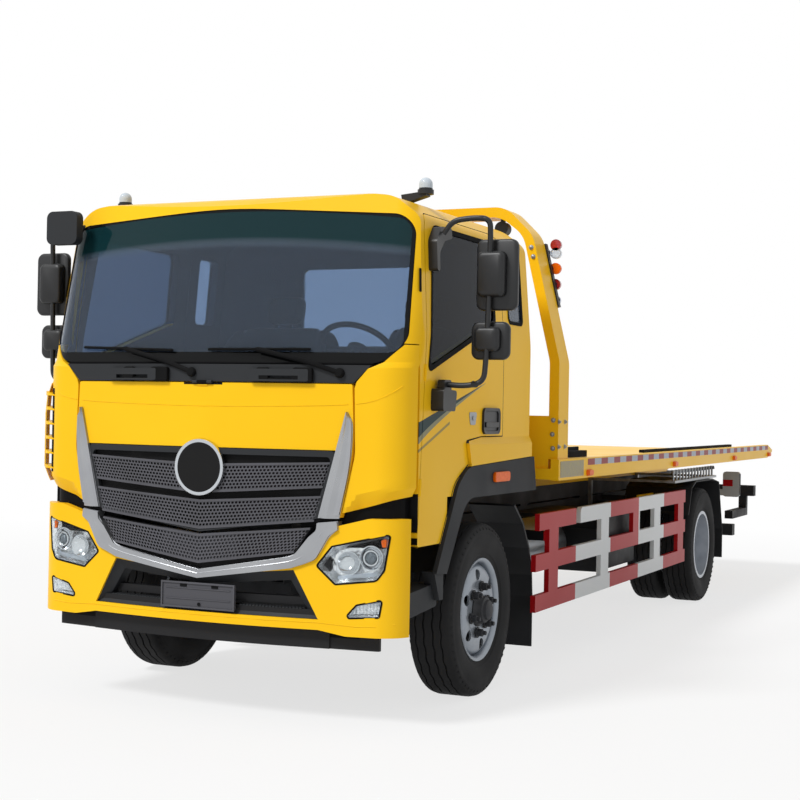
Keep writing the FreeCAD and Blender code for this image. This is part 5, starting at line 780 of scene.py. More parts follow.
def screen_border():
    """The windscreen's fired black border with round corners, and its green shade band, which is partly
    painted reflection.
    """
    x, y, z = axes_of(screen_glass)
    x = abs(x)
    ahead = y < back(-0.6)
    corner = 0.07
    over_side = (x - (z * -0.03 + 1.142) + corner).most(0.0)
    over_top = z - (x * x * -0.055 + 2.722)
    over_edge = ((1.95 - z).most(over_top) + corner).most(0.0)
    reach = (over_side * over_side + over_edge * over_edge).step("SQRT")
    border = (reach > corner) * ahead
    band = ((over_top + 0.2) * (1 / 0.06)).most(0.0).step("MINIMUM", 1.0) * ahead
    overlaid(screen_glass, band, "1D4A50")
    overlaid(screen_glass, border, "0B0C0D", rough=0.12)
    # Only 94 per cent of the light passes the glass, and 64 in the band: the rest shows the glass's colours
    # as painted reflection
    see = (band * -0.3 + 0.94) * (1.0 - border)
    see.tree.links.new(see.socket, parts_of(screen_glass)[1].inputs["Transmission Weight"])


for lay in (cab_inside, shade_in_gaps, door_film, lens_caps, guard_stripes, carrier_grey, disc_edge,
            rear_lamp_face, screen_border):
    lay()

# The CAD nodes' own finishes

DRESS = (
    (chassis_black, "chassis_frame front_axle rear_axle side_boxes mudguards knuckle_left knuckle_right"),
    (chassis_black, "tilt_frame tilt_barrels winch_frame lift_boom lift_crossbar"),
    (cast_steel, "engine driveline"),
    (brushed_tank, "fuel_tank"),
    (guard_enamel, "side_guards"),
    (yellow_enamel, "bumper corner_panels bed_deck headboard"),
    (cab_enamel, "cab_shell door_left door_right"),
    (flap_enamel, "front_panel"),
    (silver_paint, "bumper_trim grille_blades"),
    (skirt_plastic, "lower_grille"),
    (lamp_cover, "front_lamps"),
    (grained_plastic, "fenders cowl dashboard"),
    (screen_glass, "cab_glass"),
    (side_glass, "door_glass_left door_glass_right"),
    (seat_cloth, "seats"),
    (beacon_plastic, "beacons"),
    (lamp_panel, "rear_lamps"),
    (galvanised, "lever_bank"),
    (grille_black, "grille"),
    (tyre_rubber, "tyre_front_left tyre_front_right tyres_rear_left tyres_rear_right"),
    (wheel_silver, "rim_front_left rim_front_right"),
    (wheel_bright, "rims_rear_left rims_rear_right"),
    (mirror_plastic, "mirrors_left mirrors_right"),
    (cylinder_chrome, "tilt_rods"),
    (bar_plastic, "bed_lamps"),
    (rope_steel, "winch_drum"),
)
for look, names in DRESS:
    for name in names.split():
        nodes[name].data.materials.clear()
        nodes[name].data.materials.append(look)


# Wheels: tyres with grooved treads, shoulder lugs, nuts and hub caps

def tyre(work, side, centre):
    """One tyre's section carried round its axle: ribs, grooves, shoulders and beads."""
    # (distance from the tyre's middle plane, radius), from the bead up the wall to the shoulder
    wall = [(0.104, 0.2855), (0.1125, 0.2985), (0.1125, 0.312), (0.121, 0.329), (0.1235, 0.331),
            (0.1265, 0.342), (0.1325, 0.367), (0.1355, 0.398), (0.1345, 0.431), (0.1325, 0.445),
            (0.1335, 0.449), (0.1305, 0.462), (0.1215, 0.487), (0.108, 0.4975)]
    crown = [(0.092, 0.5015)]
    for place, width in ((0.076, 0.009), (0.027, 0.011)):
        crown += [(place + width / 2, 0.5035), (place + width / 3, 0.492), (place - width / 3, 0.492),
                  (place - width / 2, 0.5038)]
    half = wall + crown
    profile = half + [(-x, radius) for x, radius in reversed(half)]
    rows = turned(work, profile + [profile[0]], (side, centre, HUB_HIGH), (1, 0, 0), sides=120, ends=False)
    for row, (place, radius) in zip(rows, profile):
        if abs(place) < 0.09:
            for index, vertex in enumerate(row):
                vertex.co.x += 0.0028 * (1 if index % 4 < 2 else -1)


def ring_places(side, centre, radius, count, start=0.0):
    """Points round an axle, each with its spoke and with the way that the wheel turns there."""
    places = []
    for index in range(count):
        angle = 2 * math.pi * index / count + start
        spoke = Vector((0, math.cos(angle), math.sin(angle)))
        places.append((Vector((side, centre, HUB_HIGH)) + spoke * radius, spoke,
                       Vector((0, -math.sin(angle), math.cos(angle)))))
    return places


def front_rim(work):
    """The front wheel's steel rim, and its domed disc with six round hand holes."""
    middle = Vector((FRONT_TYRE, AXLE, HUB_HIGH))
    turned(work, [(0.117, 0.298), (0.113, 0.3), (0.107, 0.297), (0.104, 0.2845), (-0.104, 0.2845),
                  (-0.108, 0.298), (-0.117, 0.298), (-0.117, 0.272), (0.09, 0.272), (0.106, 0.277),
                  (0.115, 0.288), (0.117, 0.298)], middle, (1, 0, 0), sides=96, ends=False)
    # (radius, distance outboard of the rim's middle plane)
    dome = ((0.07, 0.103), (0.15, 0.103), (0.163, 0.106), (0.180, 0.111), (0.207, 0.1125), (0.23, 0.108),
            (0.25, 0.096), (0.262, 0.080), (0.2725, 0.062))

    def depth(radius):
        """How far outboard the dome stands at a radius."""
        for (near, low), (far, high) in zip(dome, dome[1:]):
            if radius <= far:
                return low + (high - low) * (radius - near) / (far - near)
        return dome[-1][1]

    span, shares = 40, (0, 0.06, 0.12, 0.22, 0.34, 0.48, 0.64, 0.8, 0.92, 1)
    for tile in range(6):
        turn = math.pi / 3 * tile + math.radians(10.3 + 90)
        rings = []
        for share in shares:
            ring = []
            for index in range(span):
                angle = 2 * math.pi * index / span
                u, v = math.cos(angle), math.sin(angle)
                reach = max(abs(u), abs(v))
                edge_radius = HAND_HOLE_CIRCLE + (0.0655 if v > 0 else 0.137) * v / reach
                edge_turn = math.pi / 6 * u / reach
                hole_radius = HAND_HOLE_CIRCLE + HAND_HOLE_RADIUS * v
                hole_turn = HAND_HOLE_RADIUS * u / HAND_HOLE_CIRCLE
                radius = hole_radius + (edge_radius - hole_radius) * share
                place = turn + hole_turn + (edge_turn - hole_turn) * share
                ring.append((radius, place))
            rings.append(ring)
        walls = [[middle + Vector((depth(radius) - level, radius * math.cos(place), radius * math.sin(place)))
                  for radius, place in ring] for ring, level in
                 [(ring, 0.012) for ring in rings[::-1]] + [(ring, 0.0) for ring in rings]]
        lofted(work, walls, caps=False)


def hub_cap(work):
    """The front hub's cast cap, stepped in towards its end."""
    turned(work, [(0, 0.1), (0.038, 0.1), (0.046, 0.088), (0.06, 0.08), (0.08, 0.074), (0.086, 0.06),
                  (0.1, 0.056), (0.106, 0.045), (0.107, 0)], (1.057, AXLE, HUB_HIGH), (1, 0, 0), sides=40)


def brake_drum(work):
    """The drum that shows dark through the front wheel's hand holes."""
    turned(work, [(0, 0.19), (0.06, 0.19), (0.07, 0.18), (0.07, 0.1)], (0.975, AXLE, HUB_HIGH), (1, 0, 0))


def tyre_set(name, node, body, centre, places, way):
    """The tyres that turn together on one side, and the lugs on both shoulders of each."""
    work = bmesh.new()
    lugs = []
    for place in places:
        tyre(work, way * place, centre)
        for edge in (-1, 1):
            for point, spoke, run in ring_places(way * place + edge * LUG_ASIDE, centre, LUG_RADIUS, 60):
                lugs.append((point, (Vector((edge * 0.9, 0, 0)) + spoke * 0.6).normalized(), run))
    side = "left" if way > 0 else "right"
    piece = shown(f"{name}_{side}", closed(work, name), tyre_rubber, body + side, "tyre_rubber")
    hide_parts(node + side)
    stamped(f"{name}_lugs_{side}", block_tool(), lugs, (0.03, 0.017, 0.006), tyre_rubber, body + side,
            "tyre_rubber")


def wheel_nuts(name, side, spokes, way, size, body):
    """The nuts on one wheel, all facing outboard."""
    places = [(point, (way, 0, 0), spoke) for point, spoke, _ in spokes]
    stamped(f"{name}_{side}", nut_tool(), places, size, cast_steel, body + side, "cast_metal")


def wheels():
    """All six wheels' tyres and nuts, and the front wheels' rims, caps and drums."""
    for side, way in SIDES:
        tyre_set("front_tyre", "tyre_front_", "wheel_front_", AXLE, (FRONT_TYRE,), way)
        tyre_set("rear_tyres", "tyres_rear_", "wheels_rear_", REAR_AXLE, REAR_TYRES, way)
        front = ring_places(way * FRONT_NUT_FACE, AXLE, FRONT_NUT_CIRCLE, 6, way * 0.3)
        rear = ring_places(way * REAR_NUT_FACE, REAR_AXLE, REAR_NUT_CIRCLE, 10, math.pi / 10)
        wheel_nuts("front_nuts", side, front, way, (0.044, 0.044, 0.058), "wheel_front_")
        wheel_nuts("rear_nuts", side, rear, way, (0.034, 0.034, 0.055), "wheels_rear_")
    rider = ("wheel_front_left", "wheel_front_right")
    both(hub_cap, "hub_cap", cast_steel, rider, "cast_metal")
    both(brake_drum, "front_drum", cast_steel, rider, "cast_metal")
    for rim, (side, _) in zip(both(front_rim, "front_rim", wheel_silver, rider, "wheel_silver"), SIDES):
        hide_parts("rim_front_" + side)


wheels()


# Grille: perforated bands on the slats, their frame, and the bare disc's edge

def hole_tile():
    """One square of plate, a pitch across, with a round hole and its wall."""
    square = [(-0.5, -0.5), (0, -0.5), (0.5, -0.5), (0.5, 0), (0.5, 0.5), (0, 0.5), (-0.5, 0.5), (-0.5, 0)]
    turns = [math.atan2(y, x) for x, y in square]
    work = bmesh.new()
    lofted(work, [[(x, y, 0) for x, y in square]]
           + [[(radius * math.cos(turn), radius * math.sin(turn), level) for turn in turns]
              for radius, level in ((0.37, 0), (0.35, -0.5))], caps=False)
    mesh = bpy.data.meshes.new("hole_tile")
    work.to_mesh(mesh)
    work.free()
    return mesh


def perforated(name, high, low, half, columns, rows, nose, body):
    """A slat's perforated face, with a plain rim along its two long edges.

    high and low are (at the centre line, at the ends) heights, and half the (upper, lower) half lengths."""
    def height(x, share, reach):
        """The height at a share of the way up the slat, at a distance from the centre line."""
        upper = high[0] + (high[1] - high[0]) * abs(x) / reach
        under = low[0] + (low[1] - low[0]) * abs(x) / reach
        return under + (upper - under) * share

    host = bpy.data.objects.new(name + "_tile", hole_tile())
    bpy.context.scene.collection.objects.link(host)
    mesh = evaluated(host, PERFORATE, {"Columns": columns, "Rows": rows, "Stagger": 0.5,
                                       "Finish": grille_plastic}, name)
    mesh.materials.clear()
    work = bmesh.new()
    work.from_mesh(mesh)
    bmesh.ops.remove_doubles(work, verts=work.verts, dist=1e-4)
    # Faces that reach down into a hole take the second finish, near black: painted shade inside the holes
    for face in work.faces:
        face.material_index = int(any(vertex.co.z < -0.1 for vertex in face.verts))
    rim = SLAT_RIM / (high[1] - low[1])
    for vertex in work.verts:
        share = rim + (1 - 2 * rim) * (vertex.co.y + 0.5) / rows
        reach = half[1] + (half[0] - half[1]) * share
        x = ((vertex.co.x + 0.5) / (columns + 0.5) * 2 - 1) * reach
        vertex.co = on_front(x, height(x, share, reach), SLAT_PROUD + vertex.co.z * HOLE_DEPTH, nose)
    for edge, inner, reach in ((1.0, 1 - rim, half[0]), (0.0, rim, half[1])):
        rings = []
        for step in range(-24, 25):
            x = reach * step / 24
            rings.append([on_front(x, height(x, share, reach), proud, nose)
                          for share, proud in ((edge, 0.0), (edge, SLAT_PROUD + 0.003),
                                               (inner, SLAT_PROUD + 0.003), (inner, 0.0))])
        lofted(work, rings)
    work.to_mesh(mesh)
    work.free()
    return shown(name, mesh, [grille_plastic, black_rubber_and_shade], body, "grille_grey", crease=40)


def emblem_rim(work):
    """The thin bright edge round the bare disc."""
    turned(work, [(-0.02, 0.1484), (-0.02, 0.1512), (-0.003, 0.1512), (0, 0.1498), (0, 0.1484),
                  (-0.02, 0.1484)], (0, NOSE - 0.026, EMBLEM_HIGH), AHEAD, sides=64, ends=False)


def grille_frame(work):
    """The dark frame round the flap's two slats."""
    outer, inner = [rounded([(0, foot), (low_x, low_z, 0.01), (high_x, high_z, 0.02), (-high_x, high_z, 0.02),
                             (-low_x, low_z, 0.01)])
                    for foot, low_x, low_z, high_x, high_z in ((0.990, 0.676, 1.086, 0.771, 1.438),
                                                               (1.012, 0.660, 1.103, 0.747, 1.406))]
    outer, inner = alongside(outer, inner)
    lofted(work, [[on_front(p.x, p.y, proud) for p in ring] for ring, proud in (
        (outer, -0.004), (outer, 0.006), (inner, 0.004), (inner, -0.018), (outer, -0.004))], caps=False)


def grille():
    """The three slats' faces, the frame and the disc's edge."""
    perforated("grille_band_top", (1.352, 1.380), (1.196, 1.246), (0.742, 0.706), 68, 7, NOSE, "front_flap")
    perforated("grille_band_middle", (1.160, 1.204), (1.004, 1.070), (0.696, 0.660), 64, 7, NOSE,
               "front_flap")
    perforated("grille_band_low", (0.978, 1.039), (0.823, 0.904), (0.644, 0.558), 58, 7, BUMPER_NOSE, "truck")
    single(emblem_rim, "emblem_ring", chrome, "front_flap", "chrome_rod")
    single(grille_frame, "grille_frame", grained_plastic, "front_flap", "dark_plastic")


grille()


# Bright trim: a ridged band under the grille and a ridged blade at each of its sides

def ridged(work, lower, upper, nose, ridge=0.6, edge=0.002, top=0.0155, count=40):
    """A band between two paths, with flat slopes that meet in a ridge."""
    def at_share(path, share):
        """The point at a share of a path's corners."""
        place = share * (len(path) - 1)
        index = min(int(place), len(path) - 2)
        return Vector(path[index]).lerp(Vector(path[index + 1]), place - index)

    rings = []
    for step in range(count + 1):
        low, high = at_share(lower, step / count), at_share(upper, step / count)
        middle = low.lerp(high, ridge)
        section = ((low, -0.004), (low, edge), (middle, top), (high, edge), (high, -0.004))
        rings.append([on_front(point[0], point[1], proud, nose) for point, proud in section])
    lofted(work, rings)


def evenly(corners, radius, count=24):
    """A path's rounded corners, set out again at even steps."""
    path = bent([(x, z, 0) for x, z in corners], radius)
    lengths = [0.0]
    for before, after in zip(path, path[1:]):
        lengths.append(lengths[-1] + (after - before).length)
    even = []
    for step in range(count + 1):
        goal = lengths[-1] * step / count
        index = next((i for i in range(len(lengths) - 1) if lengths[i + 1] >= goal - 1e-9), len(lengths) - 2)
        span = lengths[index + 1] - lengths[index]
        point = path[index].lerp(path[index + 1], (goal - lengths[index]) / span if span else 0)
        even.append((point.x, point.y))
    return even


def bumper_band(work):
    """One half of the bright chevron under the lowest slat."""
    lower = evenly([(0, 0.743), (0.545, 0.824), (0.678, 0.872), (0.752, 1.004), (0.797, 1.034)], 0.05)
    upper = evenly([(0, 0.790), (0.559, 0.889), (0.641, 0.992), (0.680, 1.027), (0.686, 1.065)], 0.05)
    ridged(work, lower, upper, BUMPER_NOSE, ridge=0.55)


def band_end(work):
    """The short end that closes the chevron under the blade."""
    ridged(work, [(0.797, 1.034), (0.793, 1.078)], [(0.686, 1.065), (0.684, 1.066)], BUMPER_NOSE, 0.5,
           count=4)


def side_blade(work):
    """The curved blade beside the grille, narrowing to a point at its top."""
    outer = evenly([(0.796, 1.090), (0.826, 1.241), (0.858, 1.413), (0.861, 1.590), (0.832, 1.642)], 0.2)
    inner = evenly([(0.682, 1.090), (0.722, 1.245), (0.763, 1.400), (0.810, 1.580), (0.828, 1.642)], 0.3)
    ridged(work, inner, outer, NOSE, ridge=0.42, edge=0.006, top=0.026)


def bright_trim():
    """The chevron and the two blades, in silver paint."""
    for shape, name, body in ((bumper_band, "bumper_band", "truck"), (band_end, "bumper_band_end", "truck"),
                              (side_blade, "grille_blade", "front_flap")):
        both(shape, name, silver_paint, body, "silver_plastic")


bright_trim()


# Mouth, plate carrier, corner panels and the pressed lines of the front

def mouth_surround(work):
    """The funnel that leads back from the bumper's mouth."""
    outer, inner = alongside(
        rounded([(-0.693, 0.567), (0.693, 0.567), (0.556, 0.815), (0, 0.760), (-0.556, 0.815)]),
        rounded([(-0.62, 0.612), (0.62, 0.612), (0.525, 0.757), (0, 0.712), (-0.525, 0.757)]))
    rings = [[on_front(p.x, p.y, proud, BUMPER_NOSE) for p in ring]
             for ring, proud in ((outer, -0.012), (inner, -0.045), (inner, -0.11))]
    lofted(work, rings, caps=False)


def mouth_tread(work):
    """Three rows of studs on the mouth's floor, to stand on."""
    for row in range(3):
        for index in range(-31, 32):
            x = index * 0.019 + (row % 2) * 0.0095
            if abs(x) > 0.235:
                point = on_front(x, 0.618, -0.03 - row * 0.02, BUMPER_NOSE)
                brick(work, (point.x - 0.007, point.y - 0.007, 0.611),
                      (point.x + 0.007, point.y + 0.007, 0.6165))


def carrier_rim(work):
    """The blank number plate carrier's rim and its two pressed lines."""
    y = BUMPER_NOSE - 0.001
    outer, inner = box_corners((-0.228, 0.579), (0.228, 0.718)), box_corners((-0.219, 0.588), (0.219, 0.709))
    lofted(work, [[Vector((u, y - level, v)) for u, v in ring]
                  for ring, level in ((outer, 0), (outer, 0.006), (inner, 0.006), (inner, 0), (outer, 0))],
           caps=False)
    for high in (0.682, 0.626):
        brick(work, (-0.2, y - 0.003, high), (0.2, y + 0.001, high + 0.004))


def carrier_slots(work):
    """The carrier's two slots and its screw hole: thin near-black pieces that stand for the openings as
    painted shade.
    """
    y = BUMPER_NOSE - 0.004
    for x in (-0.11, 0.085):
        brick(work, (x, y, 0.692), (x + 0.04, y + 0.005, 0.706))
    turned(work, [(0, 0.009), (0.003, 0.009)], (0.01, y, 0.603), AHEAD, sides=14)


def panel_inner_edge(z):
    """How far out the corner panel begins at a height: at the flap, and then at the windscreen's pillar."""
    edge = ((1.118, 0.809), (1.42, 0.874), (1.785, 0.864), (1.889, 0.955), (1.8905, 0.998), (1.95, 1.054),
            (1.994, 1.093))
    return next((near + (far - near) * (z - low) / (high - low)
                 for (low, near), (high, far) in zip(edge, edge[1:]) if z <= high), edge[-1][1])


def corner_panel(work):
    """The smooth panel round the cab's corner, with a chamfered foot."""
    foot_z, inner_x, top = 1.118, 0.809, 1.994
    rings = []
    for share in [0.0, 0.03, 0.06, 0.09, 0.12, 0.16] + [0.16 + 0.84 * (step + 1) / 22 for step in range(22)]:
        row = []
        for step in range(19):
            z = foot_z + share * (top - foot_z)
            for _ in range(3):
                start = panel_inner_edge(z)
                x = start + (1.1433 - start) * step / 18
                foot = foot_z + (x - inner_x) * 0.274
                z = foot + (top - foot) * share
            crease = foot_z + (x - inner_x) * 1.12 if x < 0.901 else 1.221 + (x - 0.901) * 0.146
            row.append((x, z, -0.5 * max(0.0, crease - z)))
        rings.append([on_front(x, z, proud) for x, z, proud in row]
                     + [on_front(x, z, proud - 0.028) for x, z, proud in reversed(row)])
    lofted(work, rings)


def corner_vanes(work):
    """The vaned wing on the truck's right corner: an outer skin and six vanes."""
    # (distance from the centre line, how far the skin stands off the panel)
    plan = ((1.116, 0.038), (1.126, 0.045), (1.134, 0.050), (1.1405, 0.054))
    rings = []
    for z, share in ((1.215, 0.15), (1.245, 0.5), (1.30, 1.0), (1.60, 1.0), (1.70, 0.8), (1.775, 0.2)):
        outer = [on_front(x, z, proud * share + 0.001) for x, proud in plan]
        inner = [on_front(x, z, proud * share - 0.003) for x, proud in plan]
        shut = Vector((1.147 + 0.052 * share, back(-1.052), z))
        rings.append(outer + [shut, shut - Vector((0.004, 0, 0))] + inner[::-1])
    lofted(work, rings)
    for index in range(6):
        z = 1.285 + index * 0.083
        rings = []
        for x, proud in ((1.060, 0.004), (1.085, 0.022), (1.104, 0.032), (1.120, 0.040), (1.134, 0.048)):
            near, far = on_front(x, z, -0.001), on_front(x, z + 0.004, proud)
            thick = Vector((0, 0, 0.006 + 0.02 * (x - 1.060) / 0.074))
            rings.append([near, far, far + thick, near + thick])
        lofted(work, rings)
    mirrored(work)


def vane_channel(work):
    """The channel behind the vanes, near black as painted shade between them."""
    rings = []
    for x in (1.062, 1.085, 1.105, 1.125, 1.138):
        rings.append([on_front(x, 1.27, -0.002), on_front(x, 1.27, 0.0012), on_front(x, 1.745, 0.0012),
                      on_front(x, 1.745, -0.002)])
    lofted(work, rings)
    mirrored(work)


def skirt_seal(work):
    """The rubber skirt's front face under the bumper."""
    rings = []
    for step in range(-18, 19):
        x = step * 0.05
        rings.append([on_front(x, z, proud, BUMPER_NOSE)
                      for z, proud in ((0.47, -0.054), (0.47, -0.06), (0.535, -0.06), (0.535, -0.054))])
    lofted(work, rings)


def front_details():
    """Everything on the front between the bumper's lip and the windscreen."""
    for shape, name, dark in ((mouth_surround, "mouth_surround", grained_plastic),
                              (mouth_tread, "bumper_tread", grained_plastic),
                              (carrier_rim, "plate_carrier_rim", grille_plastic),
                              (carrier_slots, "plate_carrier_slots", black_rubber_and_shade),
                              (vane_channel, "corner_channel", black_rubber_and_shade),
                              (skirt_seal, "skirt_seal", black_rubber_and_shade)):
        single(shape, name, dark, "truck", "dark_plastic")
    lines = (("flap_crease", "front_flap", NOSE,
              ((0, 1661), (150, 1662), (300, 1664), (450, 1667), (600, 1671), (720, 1675), (830, 1681))),
             ("corner_crease", "truck", NOSE,
              ((872, 1684), (930, 1692), (985, 1706), (1030, 1726), (1070, 1752), (1100, 1780))),
             ("bumper_lip_crease", "truck", BUMPER_NOSE,
              ((0, 549), (200, 549), (400, 549), (600, 550), (700, 551), (790, 546), (900, 541), (1000, 546),
               (1090, 558))))
    for name, body, nose, heights in lines:
        both(pressed_line(heights, nose), name, yellow_enamel, body, "yellow_paint")
    panels = both(corner_panel, "corner_panel", yellow_enamel, "truck", "yellow_paint", crease=14)
    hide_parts("corner_panels")
    single(corner_vanes, "corner_vanes", yellow_enamel, "truck", "yellow_paint")


front_details()


# Front lamps: a bright housing, reflectors, a projector and a clear cover

HEAD_EDGE = rounded([(0.680, 0.843), (0.783, 0.751, 0.014), (1.006, 0.779, 0.04), (1.042, 0.834, 0.03),
                     (1.067, 1.018), (0.762, 0.946)], 0.012)
FOG_EDGE = rounded([(0.836, 0.579), (1.021, 0.592), (1.035, 0.684), (0.900, 0.651, 0.02)], 0.012)


def grown(outline, amount):
    """An outline moved outwards along its own normals."""
    count = len(outline)
    moved = []
    for index, point in enumerate(outline):
        before, after = outline[index - 1], outline[(index + 1) % count]
        way = (after - before).normalized()
        moved.append(point + Vector((way.y, -way.x)) * amount)
    return moved


def behind_bumper(u, v, level):
    """A point behind the bumper's face."""
    return on_front(u, v, -level, BUMPER_NOSE)


def lamp_shell(edge, depth):
    """A dish behind a lamp's outline: a lip, sloping walls and a floor."""
    def shape(work):
        """Fills a bmesh with the dish."""
        rings = [[behind_bumper(point.x, point.y, level) for point in grown(edge, -shrink)]
                 for level, shrink in ((0.004, 0.001), (0.012, 0.004), (depth * 0.6, 0.014), (depth, 0.03))]
        lofted(work, rings, caps=False)
        centre = sum(edge, Vector((0, 0))) / len(edge)
        floor = [work.verts.new(point) for point in rings[-1]]
        middle = work.verts.new(behind_bumper(centre.x, centre.y, depth))
        for index in range(len(floor)):
            work.faces.new((floor[index], floor[(index + 1) % len(floor)], middle))
    return shape


def clear_covers(work):
    """The clear covers of both lamps."""
    for edge in (HEAD_EDGE, FOG_EDGE):
        plate(work, grown(edge, -0.0015), behind_bumper, 0.006, 0.002)


def headlamp_reflectors(work):
    """The headlamp's two round bowls, which open forward with a rolled lip."""
    for x, z, radius, depth in ((*PROJECTOR, 0.062, 0.03), (0.845, 0.862, 0.06, 0.035)):
        profile = [(0.0, radius * 1.02), (0.003, radius * 1.03), (0.003, radius * 0.97)]
        profile += [(-depth * (1 - (share / 5) ** 2), radius * 0.97 * share / 5) for share in (4, 3, 2, 1, 0)]
        turned(work, profile, behind_bumper(x, z, 0.03), swept(x)[1], sides=40, ends=False)


def projector_part(profile, level, ends):
    """A turned part of the projector, facing square to the bumper."""
    return lambda work: turned(work, profile, behind_bumper(*PROJECTOR, level), swept(PROJECTOR[0])[1],
                               sides=36, ends=ends)


def foglamp_flutes(work):
    """The fog lamp's upright flutes."""
    for index in range(9):
        x = 0.86 + index * 0.019
        rise = x - 0.86
        section = ((-0.009, 0.035), (0, 0.022), (0.009, 0.035))
        lofted(work, [[behind_bumper(x + run, z, level) for run, level in section]
                      for z in (0.598 + rise * 0.06, 0.64 + rise * 0.17)])


def lamp_seals(work):
    """The dark line of rubber round each lamp."""
    for edge in (HEAD_EDGE, FOG_EDGE):
        frame_ring(work, grown(edge, 0.004), grown(edge, -0.005),
                   lambda u, v, level: on_front(u, v, level, BUMPER_NOSE), 0.0015)


def front_lamps():
    """Both headlamps and fog lamps."""
    strip = rounded([(0.79, 0.775, 0.006), (1.0, 0.8, 0.02), (1.02, 0.835, 0.01), (1.0, 0.832, 0.01),
                     (0.985, 0.82, 0.01), (0.792, 0.795, 0.006)])
    corner = rounded([(1.030, 0.95, 0.006), (1.049, 0.95, 0.006), (1.054, 0.998), (1.022, 0.985)], 0.008)
    ring = [(0.0, 0.04), (0.012, 0.041), (0.014, 0.036), (0.012, 0.033)]
    eye = [(0.0, 0.034), (0.008, 0.032), (0.016, 0.026), (0.021, 0.016), (0.023, 0.0)]
    shells = both(lamp_shell(HEAD_EDGE, 0.075), "headlamp_bowl", reflector, "truck", "chrome_rod")
    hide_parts("front_lamps")
    for shape, name, look, slot, edge in (
            (lamp_seals, "lamp_seals", black_rubber_and_shade, "dark_plastic", 0.0),
            (lamp_shell(FOG_EDGE, 0.06), "foglamp_bowl", reflector, "chrome_rod", 0.0),
            (clear_covers, "lamp_covers", lamp_cover, "lamp_lens", 0.0),
            (headlamp_reflectors, "headlamp_reflectors", chrome, "chrome_rod", 0.0),
            (projector_part(ring, 0.03, False), "projector_ring", chrome, "chrome_rod", 0.0),
            (projector_part(eye, 0.034, True), "projector_lens", projector_glass, "lamp_lens", 0.0),
            (slab(strip, behind_bumper, 0.03, 0.022), "daylight_strip", clear_lens, "lamp_lens", 0.002),
            (foglamp_flutes, "foglamp_flutes", reflector, "chrome_rod", 0.0),
            (slab(corner, behind_bumper, 0.03, 0.018), "headlamp_indicator", amber_lens, "lamp_lens", 0.003)):
        both(shape, name, look, "truck", slot, edge=edge)


front_lamps()


# Wipers and grips under the windscreen

def wiper_arm(work, pivot, low, high):
    """One wiper: pivot cap, cranked arm, yoke and blade."""
    low, high = Vector(low), Vector(high)
    middle = (low + high) / 2
    foot, head = on_front(*pivot, 0.004), on_front(*middle, 0.03)
    knee = foot.lerp(head, 0.35) + Vector((0, -0.012, 0.012))
    turned(work, [(-0.01, 0.026), (0.01, 0.026), (0.018, 0.02), (0.0195, 0)], foot, (0, -1, 0.1), sides=20)
    tube(work, bent([foot + Vector((0, -0.006, 0)), knee, head], 0.1), 0.013, sides=10)
    for share in (-0.28, 0.28):
        end = on_front(*(middle + (high - low) * share), 0.02)
        tube(work, [on_front(*middle, 0.026), end], 0.006, sides=6)
    tube(work, [on_front(*low.lerp(high, step / 8), 0.012) for step in range(9)], 0.008, sides=6)


def wiper_pair(work):
    """The two wipers, parked."""
    wiper_arm(work, (-0.069, 1.84), (-0.843, 1.977), (-0.214, 1.958))
    wiper_arm(work, (0.784, 1.842), (0.016, 1.963), (0.607, 1.965))


def cowl_grips(work):
    """The two grips under the windscreen: two feet joined by two thin bars."""
    for low, high in ((0.322, 0.640), (-0.520, -0.215)):
        for bottom, top in ((1.797, 1.812), (1.838, 1.858)):
            plate(work, box_corners((low + 0.06, bottom), (high - 0.1, top)), on_front, 0.0, 0.022)
        for start, end in ((low, low + 0.075), (high - 0.115, high)):
            foot = rounded([(start, 1.789, 0.02), (end, 1.789), (end, 1.868), (start, 1.868, 0.02)], 0.012)
            plate(work, foot, on_front, -0.002, 0.024)


single(wiper_pair, "wipers", black_rubber_and_shade, "truck", "dark_plastic")
single(cowl_grips, "cowl_grips", black_rubber_and_shade, "truck", "dark_plastic", edge=0.006)


# Doors: rubber round the window, handle, lock plate, mirrors, and the fender's indicator

def on_side(y, z, proud):
    """A point on the cab's side, upright to the shoulder and leaning in above it."""
    lean = 0.0806 * max(0.0, z - 2.06)
    return Vector((HALF_WIDTH - lean + proud, back(y), z))


def domed_box(work, low, high, corner, front, thick, edge=0.012):
    """A rounded housing standing across the truck: soft edges round a slightly domed face."""
    outline = box_corners(low, high, corner, 8)
    centre = Vector(((low[0] + high[0]) / 2, (low[1] + high[1]) / 2))
    levels = ((0.0, edge * 0.6), (edge * 0.4, 0.0), (thick - edge, 0.0), (thick - edge * 0.35, edge * 0.35),
              (thick, edge))
    rings = []
    for level, inset in levels:
        ring = []
        for point in outline:
            share = 1 - inset / max(0.01, (point - centre).length)
            moved = centre + (point - centre) * share
            ring.append(Vector((moved.x, front - level, moved.y)))
        rings.append(ring)
    lofted(work, rings)


def window_rubber(work):
    """The rubber round the door's window."""
    outer = rounded([(-0.937, 1.852, 0.03), (0.068, 2.172), (0.068, 2.652, 0.05), (-0.812, 2.652, 0.06)],
                    0.04, 6)
    inner = rounded([(-0.908, 1.888, 0.03), (0.042, 2.190), (0.042, 2.626, 0.05), (-0.788, 2.626, 0.06)],
                    0.04, 6)
    frame_ring(work, outer, inner, on_side, 0.005, 0.001)


def quarter_rubber(work):
    """The rubber round the fixed window behind the door."""
    frame_ring(work, box_corners((0.288, 2.183), (0.542, 2.652), 0.04),
               box_corners((0.310, 2.205), (0.520, 2.630), 0.03), on_side, 0.005, 0.001)


def door_handle(work):
    """The handle's rim, its pan and the bar across it."""
    pan = box_corners((-0.120, 1.545), (0.103, 1.660), 0.022)
    frame_ring(work, box_corners((-0.143, 1.527), (0.126, 1.678), 0.035), pan, on_side, 0.015, 0.010)
    plate(work, pan, on_side, 0.0, 0.003)
    plate(work, box_corners((-0.112, 1.566), (0.095, 1.596), 0.01), on_side, 0.003, 0.017)


